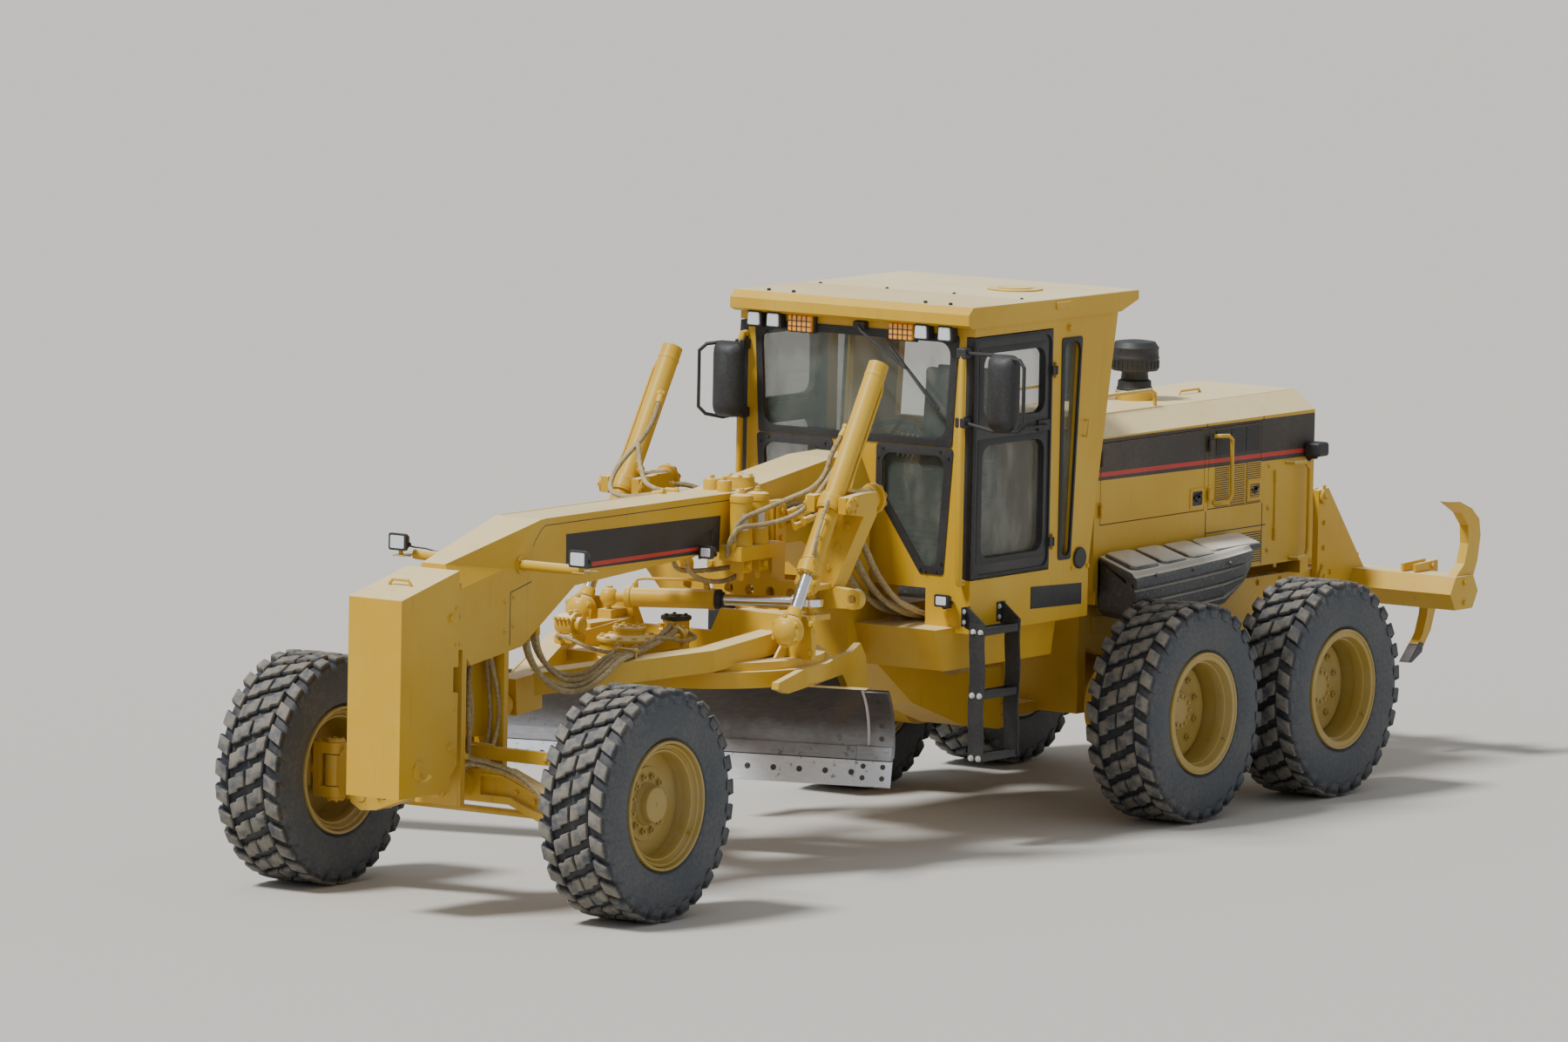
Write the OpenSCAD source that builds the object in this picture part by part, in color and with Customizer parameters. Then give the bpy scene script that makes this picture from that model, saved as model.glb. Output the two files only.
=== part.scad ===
/* [Wheels] */
// Radius of a tyre over its lugs
tyre_r = 635; // [600:1:650]
// Width of a tyre
tyre_w = 425; // [390:5:440]
// Radius of a rim's flange
rim_r = 350; // [330:1:360]
// Distance from the centre plane to a front tyre's middle
front_half_track = 1080; // [1060:5:1110]
// Distance from the centre plane to a rear tyre's middle
rear_half_track = 1110; // [1095:5:1150]
// Distance from the front axle to the tandems' middle
wheelbase = 6100; // [6050:10:6200]
// Distance between the two wheels of a tandem
tandem_pitch = 1523; // [1490:1:1560]

/* [Front axle] */
// Distance from the centre plane to a lean pin
lean_x = 690; // [670:5:700]
// Height of the lean pins
lean_z = 520; // [510:5:530]
// Height of the lean bar's pins
lean_bar_z = 820; // [810:5:830]
// Distance from the centre plane to a steering pin
king_x = 930; // [925:5:940]
// Radius of the lean pins
lean_pin_r = 32; // [28:1:36]

/* [Front frame] */
// Width of the front beam
beam_w = 300; // [280:5:320]
// Height of the front beam's top
beam_top = 2062; // [2040:1:2080]
// Height of the gooseneck's front end
nose_top = 1876; // [1850:1:1890]
// Place of the frame's front face
nose_y = -400; // [-410:5:-390]
// Place of the articulation pin
hitch_y = 5150; // [5140:5:5160]
// Radius of the articulation pin
hitch_pin_r = 50; // [45:1:55]

/* [Counterweight] */
// Width of the counterweight
weight_w = 350; // [330:5:380]
// Place of the counterweight's front face
weight_front = -925; // [-950:5:-900]
// Height of the counterweight's underside
weight_bottom = 657; // [640:1:680]

/* [Blade] */
// Length of the blade
blade_l = 3660; // [3400:10:3800]
// Distance from the circle's middle to the blade's left end
blade_left = 1050; // [1000:10:1100]
// Angle of the blade, positive with its left end to the rear
blade_angle = 16; // [12:1:20]
// Inner radius of the blade's curve
blade_r = 380; // [370:5:390]
// Thickness of the blade's plate
blade_t = 22; // [18:1:26]
// Place of the circle's middle
circle_y = 2100; // [2090:5:2110]
// Outer radius of the circle
circle_r = 765; // [750:5:780]
// Height of the circle's underside
circle_z = 1060; // [1055:1:1065]

/* [Cab] */
// Distance from the centre plane to the cab's side
cab_half = 800; // [790:1:810]
// Height of the cab's floor
cab_floor = 1490; // [1480:1:1500]
// Height of the roof's underside
cab_top = 2930; // [2920:1:2940]
// Thickness of the cab's walls
cab_wall = 55; // [50:1:60]
// Place of the cab's front wall
cab_front = 3645; // [3640:1:3650]

/* [Hood] */
// Distance from the centre plane to the hood's side
hood_half = 475; // [465:1:485]
// Place of the hood's front
hood_front = 5427; // [5420:1:5435]
// Place of the hood's rear
hood_rear = 7830; // [7820:1:7850]
// Height of the hood's top
hood_top = 2260; // [2250:1:2270]
// Thickness of the hood's sheets
hood_t = 30; // [25:1:35]

/* [Hidden] */
$fn = 48;

// Gaps between pieces
seat_gap = 0.3;
pin_gap = 0.05;
panel_gap = 6;

// Colours
paint = "goldenrod";
dark = "dimgray";
rubber = "darkslategray";
steel = "silver";
window = "lightsteelblue";

// Rows of wheels: place along the machine and half track
front_y = 0;
mid_y = wheelbase - tandem_pitch / 2;
rear_y = wheelbase + tandem_pitch / 2;

// The part's origin lies on the ground under the middle of its box
blade_reach = blade_l - blade_left;
blade_back_b = 330;
reach_right = blade_reach * cos(blade_angle) + blade_back_b * sin(blade_angle);
reach_left = rear_half_track + tyre_w / 2;
reach_rear = 9100;
plane_x = (reach_right - reach_left) / 2;
plane_y = -(weight_front + reach_rear) / 2;

// A profile in y and z, extruded along x
module side_plate(points, x0, x1) {
    translate([x0, 0, 0]) rotate([90, 0, 90]) linear_extrude(x1 - x0) polygon(points);
}

// A profile in x and z, extruded along y
module cross_plate(points, y0, y1) {
    translate([0, y1, 0]) rotate([90, 0, 0]) linear_extrude(y1 - y0) polygon(points);
}

// A plan in x and y, extruded upwards
module flat_plate(points, z0, z1) {
    translate([0, 0, z0]) linear_extrude(z1 - z0) polygon(points);
}

// A box from its lowest to its highest corner
module block(low, high) {
    translate(low) cube(high - low);
}

// A round bar between two points
module bar(from, to, r) {
    v = to - from;
    translate(from) rotate([0, acos(v[2] / norm(v)), atan2(v[1], v[0])]) cylinder(h = norm(v), r = r);
}

module pin_x(x0, x1, y, z, r) {
    translate([x0, y, z]) rotate([0, 90, 0]) cylinder(h = x1 - x0, r = r);
}

module pin_y(x, y0, y1, z, r) {
    translate([x, y0, z]) rotate([-90, 0, 0]) cylinder(h = y1 - y0, r = r);
}

module both_sides() {
    children();
    mirror([1, 0, 0]) children();
}

// Moves the machine from its front axle to the part's origin
module placed() {
    translate([plane_x, plane_y, 0]) children();
}

// Front frame
beam_half = beam_w / 2;
neck_bend = 380;
// The bevel on each side of the gooseneck, from its front end back to the bend
nose_cut = [[beam_half - 75, nose_y - 1, nose_top + 2], [beam_half + 2, nose_y - 1, nose_top + 2], [beam_half + 2, nose_y - 1, nose_top - 145],
    [beam_half + 2, 62, nose_top - 57], [beam_half + 2, neck_bend - 10, beam_top + 2], [beam_half - 75, nose_y - 1, nose_top - 1]];
nose_sides = [[0, 1, 2, 5], [1, 4, 3, 2], [0, 4, 1], [5, 2, 3], [5, 3, 4], [0, 5, 4]];
column_front = -330;
column_rear = 100;
frame_side = [
    [nose_y, 1415], [nose_y, nose_top], [neck_bend, beam_top], [2260, beam_top], [3200, 2185], [3480, 2190],
    [3590, 2010], [3590, 1385], [3880, 1119], [4137, 926], [4455, 842], [4980, 842],
    [4980, 478], [4603, 531], [4064, 713], [3662, 994], [3405, 1028], [3368, 1313], [3317, 1516],
    [2900, 1740], [1875, 1740], [710, 1674], [220, 1382], [-254, 1321], [-330, 1415]];
hitch_levels = [[478, 540], [950, 1010]];

module hitch_lug(z0, z1, r) {
    translate([0, 0, z0]) linear_extrude(z1 - z0) union() {
        translate([0, hitch_y]) circle(r = r);
        translate([-r, 4970]) square([2 * r, hitch_y - 4970]);
    }
}

module main_frame() {
    color(paint) difference() {
        union() {
            difference() {
                side_plate(frame_side, -beam_half, beam_half);
                both_sides() polyhedron(nose_cut, nose_sides);
            }
            block([-beam_half, column_front, 560], [beam_half, column_front + 40, 1415]);
            block([-beam_half, column_rear - 40, 560], [beam_half, column_rear, 1370]);
            block([-20, column_front + 39, 900], [20, column_rear - 39, 1400]);
            pin_y(0, column_front + 20, column_rear - 20, axle_pin_z, axle_pin_r);
            pin_y(0, column_rear - 1, ball_y - 20, ball_z, 65);
            for (level = hitch_levels) hitch_lug(level[0], level[1], 130);
            block([-110, 4900, 841], [110, 4990, 1005]);
            translate([0, hitch_y, 470]) cylinder(h = 550, r = hitch_pin_r);
        }
        translate([0, ball_y, ball_z]) sphere(r = ball_r + pin_gap);
    }
}

module counterweight() {
    half = weight_w / 2;
    color(paint) difference() {
        side_plate([[weight_front, weight_bottom], [weight_front, 1730], [nose_y - seat_gap, 1850], [nose_y - seat_gap, 1330],
            [nose_y - 45, 1330], [nose_y - 45, 1190], [nose_y - seat_gap, 1190], [nose_y - seat_gap, 800], [nose_y - 60, 740], [nose_y - 60, weight_bottom]],
            -half, half);
        pin_x(-half - 1, half + 1, tow_y, tow_z, tow_r);
    }
}
tow_y = -752;
tow_z = 799;
tow_r = 30;

// Front axle
axle_pin_z = 660;
axle_pin_r = 45;
axle_front = column_front + 40 + 12;
axle_rear = column_rear - 40 - 12;
axle_outline = [[-590, 610], [-250, 740], [250, 740], [590, 610], [590, 450], [300, 560], [-300, 560], [-590, 450]];
axle_mid = (axle_front + axle_rear) / 2;
axle_pocket = [[110, 600], [300, 600], [540, 508], [540, 590], [250, 700], [110, 700]];

module axle_beam() {
    color(paint) difference() {
        union() {
            cross_plate(axle_outline, -90, axle_rear);
            both_sides() for (y = [-90, axle_rear - 40])
                cross_plate([[580, 450], [lean_x, 440], [760, 480], [760, 560], [lean_x, 600], [580, 612]], y, y + 40);
            pin_y(0, axle_front, axle_rear, axle_pin_z, 80);
        }
        pin_y(0, axle_front - 1, axle_rear + 1, axle_pin_z, axle_pin_r + pin_gap);
        both_sides() for (y = [[-91, -58], [axle_rear - 32, axle_rear + 1]]) cross_plate(axle_pocket, y[0], y[1]);
        both_sides() pin_y(lean_x, -91, axle_rear + 1, lean_z, lean_pin_r + pin_gap);
    }
}

// Wheel carriers
bracket_front = -90 + 40 + 5;
bracket_rear = axle_rear - 40 - 5;

module lean_bracket() {
    color(paint) difference() {
        union() {
            cross_plate([[lean_x - 45, 470], [lean_x + 60, 460], [king_x - 60, 540], [king_x - 60, 730],
                [lean_x + 60, 870], [lean_x - 45, 870]], bracket_front, bracket_rear);
            translate([king_x, 0, 550]) cylinder(h = 170, r = 60);
            block([king_x - 90, bracket_front, 550], [king_x, bracket_rear, 720]);
            pin_y(lean_x, -95, axle_rear + 5, lean_z, lean_pin_r);
        }
        block([lean_x - 50, lean_bar_y - 25, lean_bar_z - 60], [lean_x + 55, lean_bar_y + 25, 871]);
        pin_y(lean_x, bracket_front - 1, bracket_rear + 1, lean_bar_z, 20);
        translate([king_x, 0, 540]) cylinder(h = 200, r = king_r + pin_gap);
    }
}
king_r = 30;
bracket_mid = -8.5;
lean_bar_y = bracket_mid;
module lean_bracket_left() { lean_bracket(); }
module lean_bracket_right() { mirror([1, 0, 0]) lean_bracket(); }

module knuckle() {
    color(paint) {
        translate([king_x, 0, 480]) cylinder(h = 310, r = king_r);
        for (z = [485, 725]) translate([0, 0, z]) linear_extrude(60) union() {
            translate([king_x, 0]) circle(r = 60);
            translate([king_x, -60]) square([110, 120]);
        }
        block([king_x + 65, -60, 485], [king_x + 110, 60, 785]);
        pin_x(king_x + 100, king_x + 230, 0, tyre_r, 55);
        block([king_x - 28, 40, tie_z + 35], [king_x + 28, tie_y + 28, tie_z + 65]);
    }
}
tie_y = 150;
tie_z = 480;
module knuckle_left() { knuckle(); }
module knuckle_right() {
    mirror([1, 0, 0]) knuckle();
    color(paint) translate([-king_x, tie_y, tie_z - 15]) cylinder(h = 60, r = 14);
}

module lean_bar() {
    color(paint) difference() {
        union() {
            block([-lean_x, lean_bar_y - 20, lean_bar_z - 35], [lean_x, lean_bar_y + 20, lean_bar_z + 35]);
            both_sides() pin_y(lean_x, lean_bar_y - 20, lean_bar_y + 20, lean_bar_z, 42);
            both_sides() pin_y(lean_x, bracket_front - 4, bracket_rear + 4, lean_bar_z, 20 - pin_gap);
        }
    }
}

module tie_rod_end() {
    color(dark) {
        translate([king_x, tie_y, tie_z]) sphere(r = tie_ball_r);
        translate([king_x, tie_y, tie_z]) cylinder(h = 35 - seat_gap, r = 12);
    }
}
tie_ball_r = 22;

module tie_rod() {
    color(paint) difference() {
        union() {
            pin_x(-king_x + 45, king_x - 20, tie_y, tie_z, 20);
            translate([king_x, tie_y, tie_z - 28]) cylinder(h = 40, r = 34);
            translate([-king_x, tie_y, tie_z - 18]) cylinder(h = 36, r = 52);
        }
        translate([king_x, tie_y, tie_z]) sphere(r = tie_ball_r + pin_gap);
        translate([king_x, tie_y, tie_z]) cylinder(h = 60, r = tie_ball_r);
        translate([-king_x, tie_y, tie_z - 30]) cylinder(h = 60, r = 38);
    }
}

// Wheels
module tyre_at(x, y) {
    half = tyre_w / 2;
    shoulder = 70;
    side = x > 0 ? 1 : -1;
    color(rubber) translate([x, y, tyre_r]) rotate([0, 90, 0]) rotate_extrude($fn = 64)
        polygon([[bead_r, -half + 60], [rim_r + 5, -half + 25], [rim_r + 120, -half], [tyre_r - shoulder, -half + 5],
            [tyre_r, -half + 45], [tyre_r, half - 45], [tyre_r - shoulder, half - 5], [rim_r + 120, half],
            [rim_r + 5, half - 25], [bead_r, half - 60]]);
}

bead_r = rim_r - 25;

// One rim, its disc at an offset outboard of the tyre's middle
module rim_at(x, y, disc, hub_r, hub_out) {
    side = x > 0 ? 1 : -1;
    flange = 200;
    color(paint) translate([x, y, tyre_r]) rotate([0, 90 * side, 0]) {
        rotate_extrude($fn = 64) polygon([[rim_r - 60, -flange + 40], [rim_r - 42, -flange], [rim_r, -flange], [rim_r, -flange + 12],
            [bead_r - seat_gap, -flange + 14], [bead_r - seat_gap, flange - 14], [rim_r, flange - 12], [rim_r, flange],
            [rim_r - 42, flange], [rim_r - 60, flange - 60]]);
        difference() {
            union() {
                translate([0, 0, disc]) cylinder(h = 22, r = rim_r - 50);
                translate([0, 0, disc - 60]) cylinder(h = hub_out + 60, r = hub_r);
            }
            translate([0, 0, disc - 61]) cylinder(h = 40 + 61, r = 55 + pin_gap);
        }
    }
}

module tyre_front_left() { tyre_at(front_half_track, front_y); }
module tyre_front_right() { tyre_at(-front_half_track, front_y); }
module tyre_mid_left() { tyre_at(rear_half_track, mid_y); }
module tyre_mid_right() { tyre_at(-rear_half_track, mid_y); }
module tyre_rear_left() { tyre_at(rear_half_track, rear_y); }
module tyre_rear_right() { tyre_at(-rear_half_track, rear_y); }
module rim_front_left() { rim_at(front_half_track, front_y, 105, 98, 85); }
module rim_front_right() { rim_at(-front_half_track, front_y, 105, 98, 85); }
module rim_mid_left() { rim_at(rear_half_track, mid_y, -20, 110, 40); }
module rim_mid_right() { rim_at(-rear_half_track, mid_y, -20, 110, 40); }
module rim_rear_left() { rim_at(rear_half_track, rear_y, -20, 110, 40); }
module rim_rear_right() { rim_at(-rear_half_track, rear_y, -20, 110, 40); }

// Drawbar, circle and blade
yoke_y = 2095;
ring_h = 90;
ball_y = 230;
ball_z = 1050;
ball_r = 75;
bar_rise = 4.5;
stud = [700, 1980, 1360];
shift_eye = [-520, 1990, 1450];

module drawbar() {
    color(paint) {
        translate([0, ball_y, ball_z]) sphere(r = ball_r);
        translate([0, ball_y, ball_z]) rotate([bar_rise, 0, 0]) {
            block([-70, 60, -65], [70, 300, 136]);
            both_sides() flat_plate([[10, 230], [70, 230], [560, 1250], [560, 1900], [430, 1900], [430, 1290], [10, 420]], 16, 136);
            block([-440, 1150, 16], [440, 1290, 80]);
        }
        difference() {
            translate([0, circle_y, circle_z + ring_h + seat_gap]) cylinder(h = 45, r = 720);
            translate([0, circle_y, circle_z + ring_h - 10]) cylinder(h = 80, r = 380);
        }
        cross_plate([[-780, 1190], [-780, 1340], [-740, 1430], [-440, 1430], [-380, 1300], [100, 1300], [160, 1430], [740, 1430], [780, 1340], [780, 1190]], yoke_y, yoke_y + 40);
        block([-548, 1700, 1190], [-442, yoke_y + 1, 1330]);
        both_sides() {
            bar(stud, [stud[0], yoke_y + 1, stud[2]], 24);
            translate(stud) sphere(r = 40);
        }
        translate([0, 1450, 1180]) cylinder(h = 120, r = 165);
        translate([0, 1450, 1299]) cylinder(h = 60, r = 78);
        translate([0, 1900, 1180]) cylinder(h = 190, r = 75);
        block([-60, 1450, 1180], [60, 1900, 1250]);
        translate(shift_eye) sphere(r = shift_ball_r);
        translate(shift_eye - [0, 0, 125]) cylinder(h = 125, r = 14);
        block([shift_eye[0] - 45, shift_eye[1] - 45, 1200], [shift_eye[0] + 45, yoke_y + 1, shift_eye[2] - 70]);
    }
}

module turned() {
    translate([0, circle_y, 0]) rotate([0, 0, blade_angle]) children();
}

tip_b = 650;
tip_z = 640;
arm_a = 690;
arm_side = [[-730, 1120], [-740, 1085], [-560, 1042], [100, 1040], [400, 1042], [480, 980], [530, 860], [560, 640], [600, 570],
    [650, 555], [700, 570], [740, 640], [830, 800], [860, 950], [820, 1100], [720, 1185], [560, 1149], [-250, 1149]];
// Teeth inside the circle, on which the drive's pinion turns it
teeth = 72;
tooth_steps = [[0, 26], [0.5, 26], [0.62, 0], [0.88, 0]];
teeth_outline = [for (i = [0:teeth - 1], step = tooth_steps) let (a = (i + step[0]) * 360 / teeth, r = circle_r - 95 + step[1]) [r * cos(a), r * sin(a)]];
module turn_circle() {
    color(paint) turned() {
        difference() {
            translate([0, 0, circle_z]) cylinder(h = ring_h, r = circle_r);
            translate([0, 0, circle_z - 1]) linear_extrude(ring_h + 2) polygon(teeth_outline);
        }
        difference() {
            both_sides() side_plate(arm_side, arm_a, arm_a + 40);
            translate([0, 0, circle_z + ring_h]) cylinder(h = 200, r = 725);
            both_sides() pin_x(arm_a - 1, arm_a + 41, tip_b, tip_z, 30 + pin_gap);
        }
    }
}

curve_b = -15;
curve_z = 690;
blade_top = 985;
rail_levels = [600, 860];
rail_b0 = 380;
rail_b1 = 440;
module blade_brackets() {
    color(paint) turned() {
        both_sides() difference() {
            union() {
                side_plate([[rail_b0 + 20, 540], [tip_b, tip_z - 70], [tip_b + 70, tip_z], [tip_b, tip_z + 70], [480, 920], [rail_b0 + 20, 920]],
                    arm_a - 45, arm_a - 5);
                pin_x(arm_a - 45, arm_a + 50, tip_b, tip_z, 30);
            }
            for (z = rail_levels) block([arm_a - 50, rail_b0, z - 25], [arm_a, rail_b1 + 0.5, z + 25]);
        }
        bar_half = arm_a - 44;
        block([-bar_half, 480, 700], [bar_half, 540, 760]);
    }
}

module moldboard() {
    color(dark) turned() translate([-blade_reach, 0, 0]) {
        difference() {
            translate([0, curve_b, curve_z]) rotate([0, 90, 0]) difference() {
                cylinder(h = blade_l, r = blade_r + blade_t, $fn = 96);
                translate([0, 0, -1]) cylinder(h = blade_l + 2, r = blade_r, $fn = 96);
            }
            block([-1, -1000, 0], [blade_l + 1, 180, 1500]);
            block([-1, -1000, 0], [blade_l + 1, 1000, 590]);
            block([-1, -1000, blade_top], [blade_l + 1, 1000, 1500]);
        }
        for (z = rail_levels) difference() {
            block([60, 350, z - 24.5], [blade_l - 60, rail_b1, z + 24.5]);
            translate([0, curve_b, curve_z]) rotate([0, 90, 0]) cylinder(h = blade_l, r = blade_r + blade_t - 5, $fn = 96);
        }
    }
}

module cutting_edge() {
    color(steel) turned() translate([-blade_reach, 0, 0]) difference() {
        side_plate([[366, 650], [347, 650], [295, 434], [313, 430]], 0, blade_l);
        intersection() {
            translate([0, curve_b, curve_z]) rotate([0, 90, 0]) difference() {
                cylinder(h = blade_l * 3, r = blade_r + 200, $fn = 96, center = true);
                cylinder(h = blade_l * 3, r = blade_r - seat_gap, $fn = 96, center = true);
            }
            block([-2, 200, 590 - seat_gap], [blade_l + 2, 500, 700]);
        }
    }
}

// Lift cylinders
trunnion = [700, 2380, 2030];
lift_axis = (trunnion - stud) / norm(trunnion - stud);
lift_top = trunnion + lift_axis * 870;
lift_gland = stud + lift_axis * 350;
module lift_barrel() {
    color(paint) difference() {
        union() {
            bar(lift_gland, lift_top, 58);
            bar(lift_gland, lift_gland + lift_axis * 60, 68);
            pin_x(trunnion[0] - 115, trunnion[0] + 115, trunnion[1], trunnion[2], trunnion_r);
            bar(trunnion - lift_axis * 45, trunnion + lift_axis * 45, 74);
        }
        bar(lift_gland - lift_axis, lift_top - lift_axis * 40, 34 + pin_gap);
    }
}
module lift_rod() {
    color(steel) difference() {
        union() {
            bar(stud + lift_axis * 70, lift_top - lift_axis * 420, 34);
            pin_y(stud[0], stud[1] - 25, stud[1] + 25, stud[2], 90);
        }
        pin_y(stud[0], stud[1] - 60, stud[1] + 60, stud[2], 64);
    }
}
module lift_barrel_left() { lift_barrel(); }
module lift_barrel_right() { mirror([1, 0, 0]) lift_barrel(); }
module lift_rod_left() { lift_rod(); }
module lift_rod_right() { mirror([1, 0, 0]) lift_rod(); }

// Centre shift cylinder
shift_clevis = [560, 2400, 1470];
shift_ball_r = 30;
shift_axis = (shift_clevis - shift_eye) / norm(shift_clevis - shift_eye);
shift_l = norm(shift_clevis - shift_eye);
module shift_barrel() {
    color(paint) difference() {
        union() {
            bar(shift_eye + shift_axis * 30, shift_eye + shift_axis * 110, 30);
            bar(shift_eye + shift_axis * 95, shift_eye + shift_axis * 640, 55);
            translate(shift_eye) sphere(r = 52);
        }
        translate(shift_eye) sphere(r = shift_ball_r + pin_gap);
        translate(shift_eye - [0, 0, 60]) cylinder(h = 60, r1 = 46, r2 = 24);
        bar(shift_eye + shift_axis * 160, shift_eye + shift_axis * 650, 30 + pin_gap);
    }
}
module shift_rod() {
    color(steel) difference() {
        union() {
            bar(shift_eye + shift_axis * 240, shift_clevis - shift_axis * 50, 30);
            translate(shift_clevis - [0, 0, 20]) cylinder(h = 40, r = 75);
        }
        translate(shift_clevis - [0, 0, 50]) cylinder(h = 100, r = 52);
    }
}

// Saddle that holds the lift cylinders
saddle_front = 2510;
saddle_rear = 2640;
trunnion_r = 34;
module lift_saddle() {
    color(paint) {
        difference() {
            union() {
                both_sides() block([beam_half + seat_gap, saddle_front, 1400], [beam_half + 70, saddle_rear, 2000]);
                block([-beam_half - 70, saddle_front, 1560], [beam_half + 70, saddle_rear, 1740 - seat_gap]);
                cross_plate([[-470, 1400], [-430, 1560], [430, 1560], [470, 1400]], saddle_front, saddle_front + 60);
                both_sides() cross_plate([[400, 1430], [520, 1430], [640, 1560], [830, 1960], [830, 2090], [580, 2090], [580, 1960], [400, 1600]],
                    saddle_front, saddle_rear);
            }
            for (i = [-2.5:2.5]) pin_y(i * 140, saddle_front - 1, saddle_front + 61, 1490, 30);
            both_sides() pin_y(605, saddle_front - 1, saddle_rear + 1, 1900, 40);
        }
        both_sides() for (x = [trunnion[0] - 130, trunnion[0] + 80]) difference() {
            side_plate([[trunnion[1] - 50, 1985], [trunnion[1] - 50, 2075], [saddle_front + 1, 2089], [saddle_front + 1, 1960]], x, x + 50);
            pin_x(x - 1, x + 51, trunnion[1], trunnion[2], trunnion_r + pin_gap);
        }
        for (z = [shift_clevis[2] - 100, shift_clevis[2] + 70])
            block([shift_clevis[0] - 60, shift_clevis[1] - 40, z], [shift_clevis[0] + 60, saddle_front + 1, z + 30]);
        translate(shift_clevis - [0, 0, 80]) cylinder(h = 160, r = 25);
        for (y = [2170, 2330]) translate([beam_half + 90, y, 1780]) cylinder(h = 280, r = 62);
        block([beam_half + seat_gap, 2090, 1700], [beam_half + 150, saddle_front + 1, 1781]);
    }
}

module front_lamps() {
    color(paint) both_sides() {
        pin_x(beam_half + seat_gap, beam_half + 420, lamp_y, lamp_z, 28);
        block([beam_half + 419, lamp_y - 45, lamp_z - 10], [beam_half + 520, lamp_y + 35, lamp_z + 95]);
    }
}
lamp_y = 200;
lamp_z = 1830;

// Cab
module cab_base() {
    color(paint) {
        both_sides() block([500, cab_front, 1200], [cab_half, cab_back_low, cab_floor - 50]);
        block([-cab_half, cab_front, cab_floor - 50], [cab_half, cab_back_low, cab_floor]);
        both_sides() side_plate([[3450, 1230], [3550, 990], [4650, 990], [4700, 1230]], beam_half + seat_gap, 700);
        both_sides() block([501, 4000, 1200], [699, 4500, 1231]);
    }
}
sill_z = cab_floor + 0.535 * (cab_top - cab_floor);
door_front = cab_front - 5;
door_rear = cab_front + 810;
door_low = cab_floor + 10;
door_high = cab_top - 50;
door_panes = [[door_low + 90, sill_z + 30], [sill_z + 120, door_high - 70]];
cab_back_low = cab_front + 1225;
cab_back_high = cab_front + 1485;
cab_side = [[cab_front, cab_floor + seat_gap], [cab_front, cab_top], [cab_back_high, cab_top], [cab_back_low, cab_floor + seat_gap]];
cab_hollow = [[cab_front + cab_wall, cab_floor - 10], [cab_front + cab_wall, cab_top + 1], [cab_back_high - cab_wall - 10, cab_top + 1], [cab_back_low - cab_wall, cab_floor - 10]];
screen = [[120 - cab_half, cab_top - 60], [cab_half - 120, cab_top - 60], [cab_half - 155, sill_z], [155 - cab_half, sill_z]];
low_window = [[170, sill_z - 40], [cab_half - 150, sill_z - 40], [cab_half - 200, cab_floor + 50], [cab_half - 330, cab_floor + 50], [170, sill_z - 300]];
quarter_window = [[cab_front + 915, cab_floor + 70], [cab_front + 915, cab_top - 130], [cab_front + 1095, cab_top - 130], [cab_front + 1015, cab_floor + 70]];
rear_screen = [[160 - cab_half, cab_top - 70], [cab_half - 160, cab_top - 70], [cab_half - 200, sill_z - 10], [200 - cab_half, sill_z - 10]];

module cab_shell() {
    color(paint) difference() {
        side_plate(cab_side, -cab_half, cab_half);
        side_plate(cab_hollow, -cab_half + cab_wall, cab_half - cab_wall);
        cross_plate(screen, cab_front - 10, cab_front + cab_wall + 10);
        both_sides() cross_plate(low_window, cab_front - 10, cab_front + cab_wall + 10);
        cross_plate(rear_screen, cab_back_low - 20, cab_back_high + 170);
        side_plate(quarter_window, -cab_half - 1, cab_half + 1);
        block([-cab_half - 1, door_front, door_low], [-cab_half + cab_wall + 1, door_rear, door_high]);
        block([cab_half - cab_wall - 1, door_front, door_low], [cab_half + 1, door_rear, door_high]);
    }
    color(paint) both_sides() for (z = door_levels) hinge_stay(cab_half, cab_half + 15, door_rear + 15, -1, z);
}
module cab_roof() {
    color(paint) side_plate([[cab_front - 90, cab_top + 20], [cab_front - 90, cab_top + 80], [cab_front - 45, cab_top + 120], [cab_back_high + 193, cab_top + 110],
        [cab_back_high + 193, cab_top + 60], [cab_back_high + 10, cab_top + seat_gap], [cab_front - 45, cab_top + seat_gap]],
        -cab_half - 15, cab_half + 15);
}
module cab_glass() {
    color(window) {
        translate([0, cab_front + 30, 0]) rotate([90, 0, 0]) linear_extrude(8) offset(delta = -seat_gap) polygon(screen);
        both_sides() translate([0, cab_front + 30, 0]) rotate([90, 0, 0]) linear_extrude(8) offset(delta = -seat_gap) polygon(low_window);
        both_sides() translate([cab_half - 35, 0, 0]) rotate([90, 0, 90]) linear_extrude(8) offset(delta = -seat_gap) polygon(quarter_window);
    }
}
module cab_interior() {
    color(dark) {
        seat_y = cab_front + 605;
        block([-190, seat_y + 40, cab_floor + seat_gap], [190, seat_y + 400, cab_floor + 330]);
        block([-260, seat_y, cab_floor + 329], [260, seat_y + 500, cab_floor + 480]);
        side_plate([[seat_y + 370, cab_floor + 479], [seat_y + 430, cab_floor + 1110], [seat_y + 530, cab_floor + 1110], [seat_y + 500, cab_floor + 479]], -250, 250);
        side_plate([[cab_front + 115, cab_floor + seat_gap], [cab_front + 155, cab_floor + 660], [cab_front + 255, cab_floor + 660], [cab_front + 275, cab_floor + seat_gap]], -160, 160);
        translate([0, cab_front + 305, cab_floor + 745]) rotate([25, 0, 0]) cylinder(h = 30, r = 190);
        bar([0, cab_front + 195, cab_floor + 640], [0, cab_front + 305, cab_floor + 750], 40);
    }
}

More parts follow.
